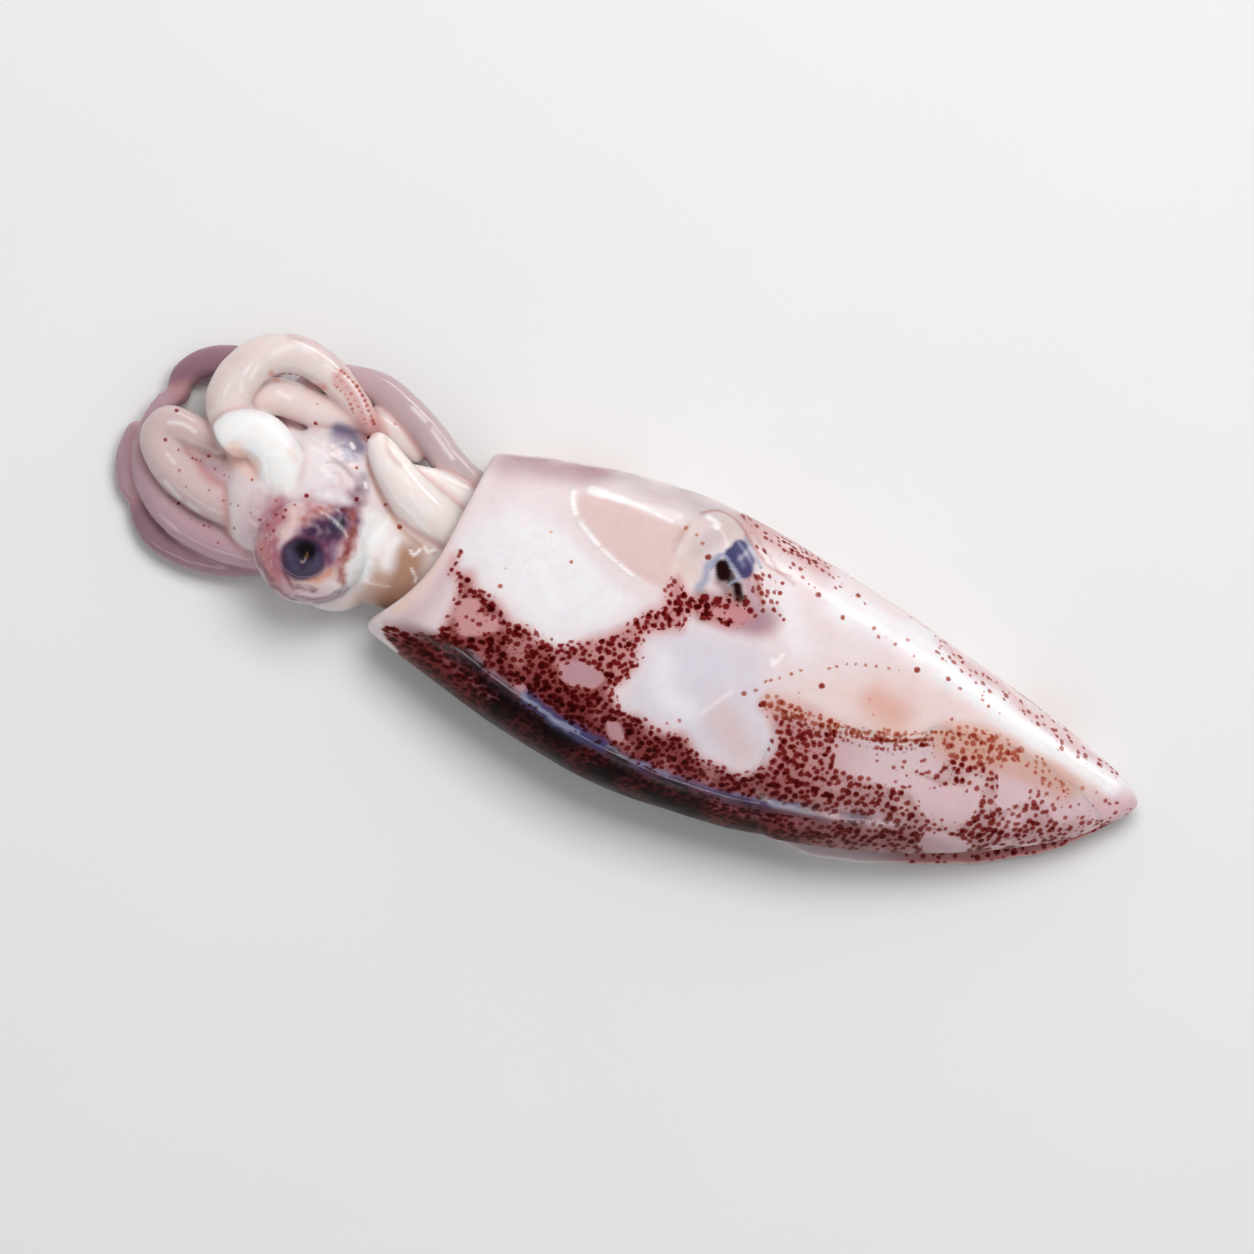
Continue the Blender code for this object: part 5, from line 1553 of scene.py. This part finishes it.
def joined(name, pieces):
    """One mesh object of all the pieces, which are removed."""
    points, faces = [], []
    for piece in pieces:
        start = sum(len(p) for p in points)
        points.append(mesh_points(piece.data))
        faces += [tuple(index + start for index in polygon.vertices) for polygon in piece.data.polygons]
        bpy.data.objects.remove(piece)
    return new_object(name, np.concatenate(points), faces)


def swollen_tube(name, route, radii):
    """A tube whose radius runs smoothly through the given ones, with round ends."""
    steps = 40
    line = smooth_route(route, steps)
    width = smooth_route(np.array(radii)[:, None], steps)[:, 0]
    return joined(name, [ball(name, place, (radius,) * 3) for place, radius in zip(line, width)])


class SQUID_OT_head(bpy.types.Operator):
    """Build the head with its funnel, arms and tentacles as one body of flesh"""

    bl_idname = "squid.head"
    bl_label = "Head and arms"

    def execute(self, context):
        body, colours = context.scene.squid_body, context.scene.squid_colours
        group = arm_group()
        forms = [ball(name, middle, radii) for name, (middle, radii) in HEAD_FORMS.items()]
        forms.append(swollen_tube("funnel", *FUNNEL))
        forms.append(swollen_tube("funnel_strand", *FUNNEL_STRAND))
        for name, (route, thick, thin, _) in ARMS.items():
            forms.append(finished(with_group(arm_curve(name, route), group, arm_inputs(thick, thin)), name))
        flesh = joined("head_flesh", forms)
        remesh = flesh.modifiers.new("one_flesh", "REMESH")
        remesh.mode = "VOXEL"
        remesh.voxel_size = body.voxel
        smooth = flesh.modifiers.new("soft", "SMOOTH")
        smooth.factor = 0.5
        smooth.iterations = 4
        piece = finished(flesh, "head_flesh")
        piece.data.shade_smooth()
        self.wrinkle(piece)
        paint_head(piece, colours)
        piece.data.materials.append(flesh_shader("head_flesh", colours, skin=False))
        finish_piece(piece, "head_flesh", "head_and_arms")
        return {"FINISHED"}

    def wrinkle(self, piece):
        """Soft unevenness everywhere, and fine folds on the skull's membrane."""
        points = in_millimetres(piece)
        normals = np.empty(len(points) * 3, np.float32)
        piece.data.vertices.foreach_get("normal", normals)
        relief = 0.10 * noise_at(points, 4.0, 21) + 0.05 * noise_at(points, 1.6, 22)
        membrane = 1 - smoothstep(3.0, 6.5, np.hypot(points[:, 0] + 45.0, points[:, 1] - 8.0))
        membrane *= smoothstep(9, 12, points[:, 2])
        folds = 1 - np.abs(noise_at(points * (1.0, 2.0, 1.0), 2.2, 23)) * 4
        relief += 0.10 * membrane * np.clip(folds, 0, 1)
        points = points + normals.reshape(-1, 3) * relief[:, None]
        points[:, 2] = np.maximum(points[:, 2], 0.02)
        piece.data.vertices.foreach_set("co", (points * MM + SHIFT).astype(np.float32).ravel())
        piece.data.update()


def outside_forms(points):
    """For each form: how far each point is outside, its colours at root and tip, and how near the tip."""
    for name, (middle, radii) in HEAD_FORMS.items():
        scaled = np.linalg.norm((points - middle) / radii, axis=1) - 1
        yield scaled * min(radii), (FORM_TONES[name],) * 2, 0.0
    for route, radii in (FUNNEL, FUNNEL_STRAND):
        away, share = from_line(points, smooth_route(route, 40))
        thickness = np.interp(share, np.linspace(0, 1, len(radii)), radii)
        yield away - thickness, (FUNNEL_TONE,) * 2, 0.0
    for name, (route, thick, thin, _) in ARMS.items():
        away, share = from_line(points, smooth_route(route, 60))
        yield away - thick - (thin - thick) * share**ARM_TAPER, ARM_TONES[name], share


def crevices(points):
    """How deep in a fold between two forms each point is. The head's own forms count as one."""
    away = [np.clip(outside, 0.0, None) for outside, _, _ in outside_forms(points)]
    head = np.min(away[:len(HEAD_FORMS)], axis=0)
    second = np.sort([head, *away[len(HEAD_FORMS):]], axis=0)[1]
    return np.exp(-((second / 0.55) ** 2))


def flesh_ground(colours, points):
    """The forms' own colours, run into one another."""
    total = np.full(len(points), 1e-9)
    ground = np.zeros((len(points), 3))
    for outside, (root, tip), share in outside_forms(points):
        weight = np.exp(-np.clip(outside, 0.0, 4.0) / FORM_BLEND)
        share = np.broadcast_to(share, len(points))[:, None]
        tone = np.array(getattr(colours, root)) * (1 - share) + np.array(getattr(colours, tip)) * share
        ground += weight[:, None] * tone
        total += weight
    return ground / total[:, None]


def paint_eye_skin(ground, colours, points):
    """The strokes on an eye, ragged and broken; the widest of them drift least."""
    plan, height = points[:, :2], points[:, 2]
    drift = 0.55 * drift_at(points, 1.8, 32) + 0.25 * drift_at(points, 0.6, 34)
    broken = 0.5 * noise_at(points, 0.9, 36)
    for colour, *stroke in EYE_STROKES:
        strength, half_width = stroke[:2]
        mask = stroke_mask(plan + drift * min(1.0, 0.9 / half_width), stroke) * smoothstep(10.0, 13.0, height)
        if strength < 1:
            mask *= 1 + broken
        paint(ground, np.clip(mask, 0, 1), getattr(colours, colour))


def paint_head(piece, colours):
    """Gives the flesh of the head or an eye its ground and its spots."""
    points = in_millimetres(piece)
    plan, height = points[:, :2], points[:, 2]
    ground = flesh_ground(colours, points)
    # Painted shade in the folds between forms
    paint(ground, 0.65 * crevices(points), colours.crevice_shade)
    # Painted shade: the flesh darkens to blush towards the floor
    paint(ground, 0.6 * (1 - smoothstep(1.0, 9.0, height)), colours.blush_and_low_shade)
    upper = smoothstep(6.0, 9.0, height)
    paint_strokes(ground, colours, HEAD_STROKES, plan, upper)
    # Painted highlights in the gleam colour
    paint_strokes(ground, colours, [("gleam", *stroke) for stroke in HEAD_PAINTED_HIGHLIGHTS], plan, upper)
    paint_eye_skin(ground, colours, points)
    if piece.name.startswith("eye_left"):
        ground[:] = np.array(colours.slate)
    marks, tone = from_marks(plan, with_rows(HEAD_MARKS, HEAD_ROWS))
    set_colours(piece.data, "ground", ground)
    set_values(piece.data, "marks", marks + MARK_REACH * (1 - smoothstep(3.0, 4.0, height)))
    set_values(piece.data, "mark_tone", tone)


class SQUID_OT_suckers(bpy.types.Operator):
    """Set the suckers along the inner side of the arms"""

    bl_idname = "squid.suckers"
    bl_label = "Suckers"

    sides = 12
    # Radius and height of a cup of diameter 1 that opens along +Z, from under it round into its hollow
    profile = ((0.20, -0.30), (0.40, -0.12), (0.50, 0.10), (0.44, 0.26), (0.32, 0.22), (0.20, 0.06))

    def execute(self, context):
        body, colours = context.scene.squid_body, context.scene.squid_colours
        group, cup, horn = sucker_group(), self.cup(), sucker_shader(colours)
        rows = []
        for name, (route, thick, thin, facing) in ARMS.items():
            if facing is not None:
                curve = with_group(arm_curve(name + "_suckers", route), group, {
                    **arm_inputs(thick, thin), "Facing": facing, "Diameter": body.sucker, "Sucker": cup,
                    "Material": horn,
                })
                rows.append(finished(curve, name + "_suckers"))
        bpy.data.objects.remove(cup)
        piece = joined("suckers", rows)
        piece.data.materials.append(horn)
        finish_piece(piece, "head_flesh")
        return {"FINISHED"}

    def cup(self):
        turns = np.arange(self.sides) / self.sides * 2 * math.pi
        rings = [np.stack([radius * np.cos(turns), radius * np.sin(turns), np.full(self.sides, height)], 1)
                 for radius, height in self.profile]
        ends = [(0, 0, 0), (0, 0, self.profile[0][1])]
        faces = [tuple(quad) for quad in grid_faces(len(rings), self.sides, wrap=True).tolist()]
        last = (len(rings) - 1) * self.sides
        centre, under = last + self.sides, last + self.sides + 1
        around = [(k, (k + 1) % self.sides) for k in range(self.sides)]
        faces += [(last + a, last + b, centre) for a, b in around] + [(b, a, under) for a, b in around]
        return new_object("sucker", np.concatenate([*rings, ends]), faces)


def sucker_shader(colours):
    """Suckers: firmer and glossier than the flesh."""
    made, tree, shader = new_material("suckers")
    grain = tree.grain(tree.add("ShaderNodeTexCoord").outputs["Object"], 700.0, 2.0)[0]
    colour = tree.mix(tree.ramp(grain, 0.3, 0.7), solid(colours.shell), solid(colours.rose))
    tree.feed(shader, {"Base Color": colour, **SUCKER_FINISH})
    return made


class SQUID_OT_eyes(bpy.types.Operator):
    """Build both eyes, each with its pupil, iris and the skin drawn over it"""

    bl_idname = "squid.eyes"
    bl_label = "Eyes"

    rings = 160
    sides = 200
    # In millimetres: how deep the pupil is sunk, and how high the rim round it stands, at which radius
    pupil_depth = 0.28
    rim_height = 0.16
    rim_radius = 3.1

    def execute(self, context):
        colours = context.scene.squid_colours
        for name, (middle, radius) in EYES.items():
            piece = self.eyeball(name, np.array(middle), radius, np.array(PUPILS[name]))
            paint_head(piece, colours)
            close_ends(piece.data)
            piece.data.materials.append(flesh_shader(name, colours, skin=False))
            finish_piece(piece, "eye", name)
        return {"FINISHED"}

    def eyeball(self, name, middle, radius, pupil):
        """A ball whose rings run round the pupil, which is sunk in a soft cup with a raised rim."""
        lean = np.linspace(0, math.pi, self.rings)
        turns = np.arange(self.sides) / self.sides * 2 * math.pi
        axis = (pupil - middle) / np.linalg.norm(pupil - middle)
        side = np.cross(axis, (0.0, 1.0, 0.3))
        side /= np.linalg.norm(side)
        arc = lean * radius
        cup = self.rim_height * np.exp(-(((arc - self.rim_radius) / 0.7) ** 2))
        cup -= self.pupil_depth * (1 - smoothstep(0.4, 2.4, arc))
        ring = np.cos(turns)[:, None] * side + np.sin(turns)[:, None] * np.cross(axis, side)
        outward = np.cos(lean)[:, None, None] * axis + np.sin(lean)[:, None, None] * ring
        flat = (middle + (radius + cup)[:, None, None] * outward).reshape(-1, 3)
        flat += (flat - middle) / radius * (0.10 * noise_at(flat, 3.0, 31))[:, None]
        return new_object(name + "_ball", flat * MM + SHIFT, grid_faces(self.rings, self.sides, wrap=True))


def studio_world(stage):
    """Walls that are bright low down only, so that wet skin seen from above doesn't mirror them."""
    world = bpy.data.worlds.new("studio")
    world.use_nodes = True
    tree = Tree(world.node_tree)
    direction = tree.add("ShaderNodeTexCoord").outputs["Generated"]
    height = tree.add("ShaderNodeSeparateXYZ", {0: direction}).outputs[2]
    mirrored = tree.add("ShaderNodeLightPath").outputs["Is Glossy Ray"]
    strength = tree.math("MULTIPLY", tree.ramp(height, 0.02, 0.14, stage.horizon, stage.walls),
                         tree.ramp(mirrored, 0.0, 1.0, 1.0, 0.3))
    tree.feed(world.node_tree.nodes["Background"], {"Color": WALL_COLOUR, "Strength": strength})
    return world


def stage_floor():
    """A pale sheet of paper."""
    half = FLOOR_SIZE / 2
    corners = [(-half, -half, 0), (half, -half, 0), (half, half, 0), (-half, half, 0)]
    floor = new_object("floor", corners, [(0, 1, 2, 3)])
    paper, tree, shader = new_material("floor")
    grain = tree.grain(tree.add("ShaderNodeTexCoord").outputs["Object"], 30.0, 2.0)[0]
    tree.feed(shader, {"Base Color": tree.mix(grain, *PAPER_TONES), "Roughness": 0.7})
    floor.data.materials.append(paper)
    return floor


def stage_light(name, place, target, size, power, colour):
    """A soft rectangular light that faces the target."""
    lamp = bpy.data.lights.new(name, "AREA")
    lamp.shape = "RECTANGLE"
    lamp.size, lamp.size_y = size
    lamp.energy = power
    lamp.color = colour
    made = link_object(name, lamp)
    made.location = place
    made.rotation_euler = (target - place).to_track_quat("-Z", "Y").to_euler()
    return made


class SQUID_OT_stage(bpy.types.Operator):
    """Lay the floor, set the lights and place the camera straight above the squid"""

    bl_idname = "squid.stage"
    bl_label = "Stage"

    def execute(self, context):
        scene, stage = context.scene, context.scene.squid_stage
        stage_floor()
        scene.world = studio_world(stage)
        right = Vector((math.cos(VIEW_TURN), math.sin(VIEW_TURN), 0))
        up = Vector((-math.sin(VIEW_TURN), math.cos(VIEW_TURN), 0))
        middle = (CAD_BOX[0] + CAD_BOX[1]) / 2
        middle.z = 0.01
        for name, (turn, rise, size, colour) in LIGHTS.items():
            turn, rise = math.radians(turn), math.radians(rise)
            way = (right * math.cos(turn) + up * math.sin(turn)) * math.cos(rise)
            way.z = math.sin(rise)
            place = middle + LIGHT_DISTANCE * way
            lamp = stage_light(name, place, middle, size, getattr(stage, name), colour)
            # The strips show in wet skin only, and the soft box lights it without a mirror image of itself
            lamp.visible_diffuse = name == "soft_box"
            lamp.visible_glossy = name != "soft_box"
        self.place_camera(scene, stage, right, up, middle)
        scene.view_settings.view_transform = "Standard"
        return {"FINISHED"}

    def place_camera(self, scene, stage, right, up, middle):
        camera = bpy.data.cameras.new("camera")
        camera.lens = stage.lens
        camera.clip_end = 10
        away = stage.view_width * camera.lens / camera.sensor_width
        turned = Matrix((right, up, Vector((0, 0, 1)))).transposed()
        scene.camera = link_object("camera", camera)
        scene.camera.matrix_world = Matrix.Translation((middle.x, middle.y, away)) @ turned.to_4x4()


class SQUID_PT_panel(bpy.types.Panel):
    bl_label = "Raw Squid"
    bl_idname = "SQUID_PT_panel"
    bl_space_type = "VIEW_3D"
    bl_region_type = "UI"
    bl_category = "Squid"

    def draw(self, context):
        for group in (context.scene.squid_body, context.scene.squid_colours, context.scene.squid_stage):
            box = self.layout.box()
            for name in group.__annotations__:
                box.prop(group, name)
        for operator in OPERATORS:
            self.layout.operator(operator.bl_idname)


OPERATORS = (SQUID_OT_mantle, SQUID_OT_fins, SQUID_OT_head, SQUID_OT_suckers, SQUID_OT_eyes, SQUID_OT_stage)
GROUPS = {"squid_body": SquidBody, "squid_colours": SquidColours, "squid_stage": SquidStage}


def register():
    for group in GROUPS.values():
        bpy.utils.register_class(group)
    for operator in OPERATORS:
        bpy.utils.register_class(operator)
    bpy.utils.register_class(SQUID_PT_panel)
    for name, group in GROUPS.items():
        setattr(bpy.types.Scene, name, bpy.props.PointerProperty(type=group))


def unregister():
    for name in GROUPS:
        delattr(bpy.types.Scene, name)
    bpy.utils.unregister_class(SQUID_PT_panel)
    for kind in (*reversed(OPERATORS), *reversed(GROUPS.values())):
        bpy.utils.unregister_class(kind)


def main():
    register()
    for operator in OPERATORS:
        group, name = operator.bl_idname.split(".")
        getattr(getattr(bpy.ops, group), name)()


if __name__ == "__main__":
    main()
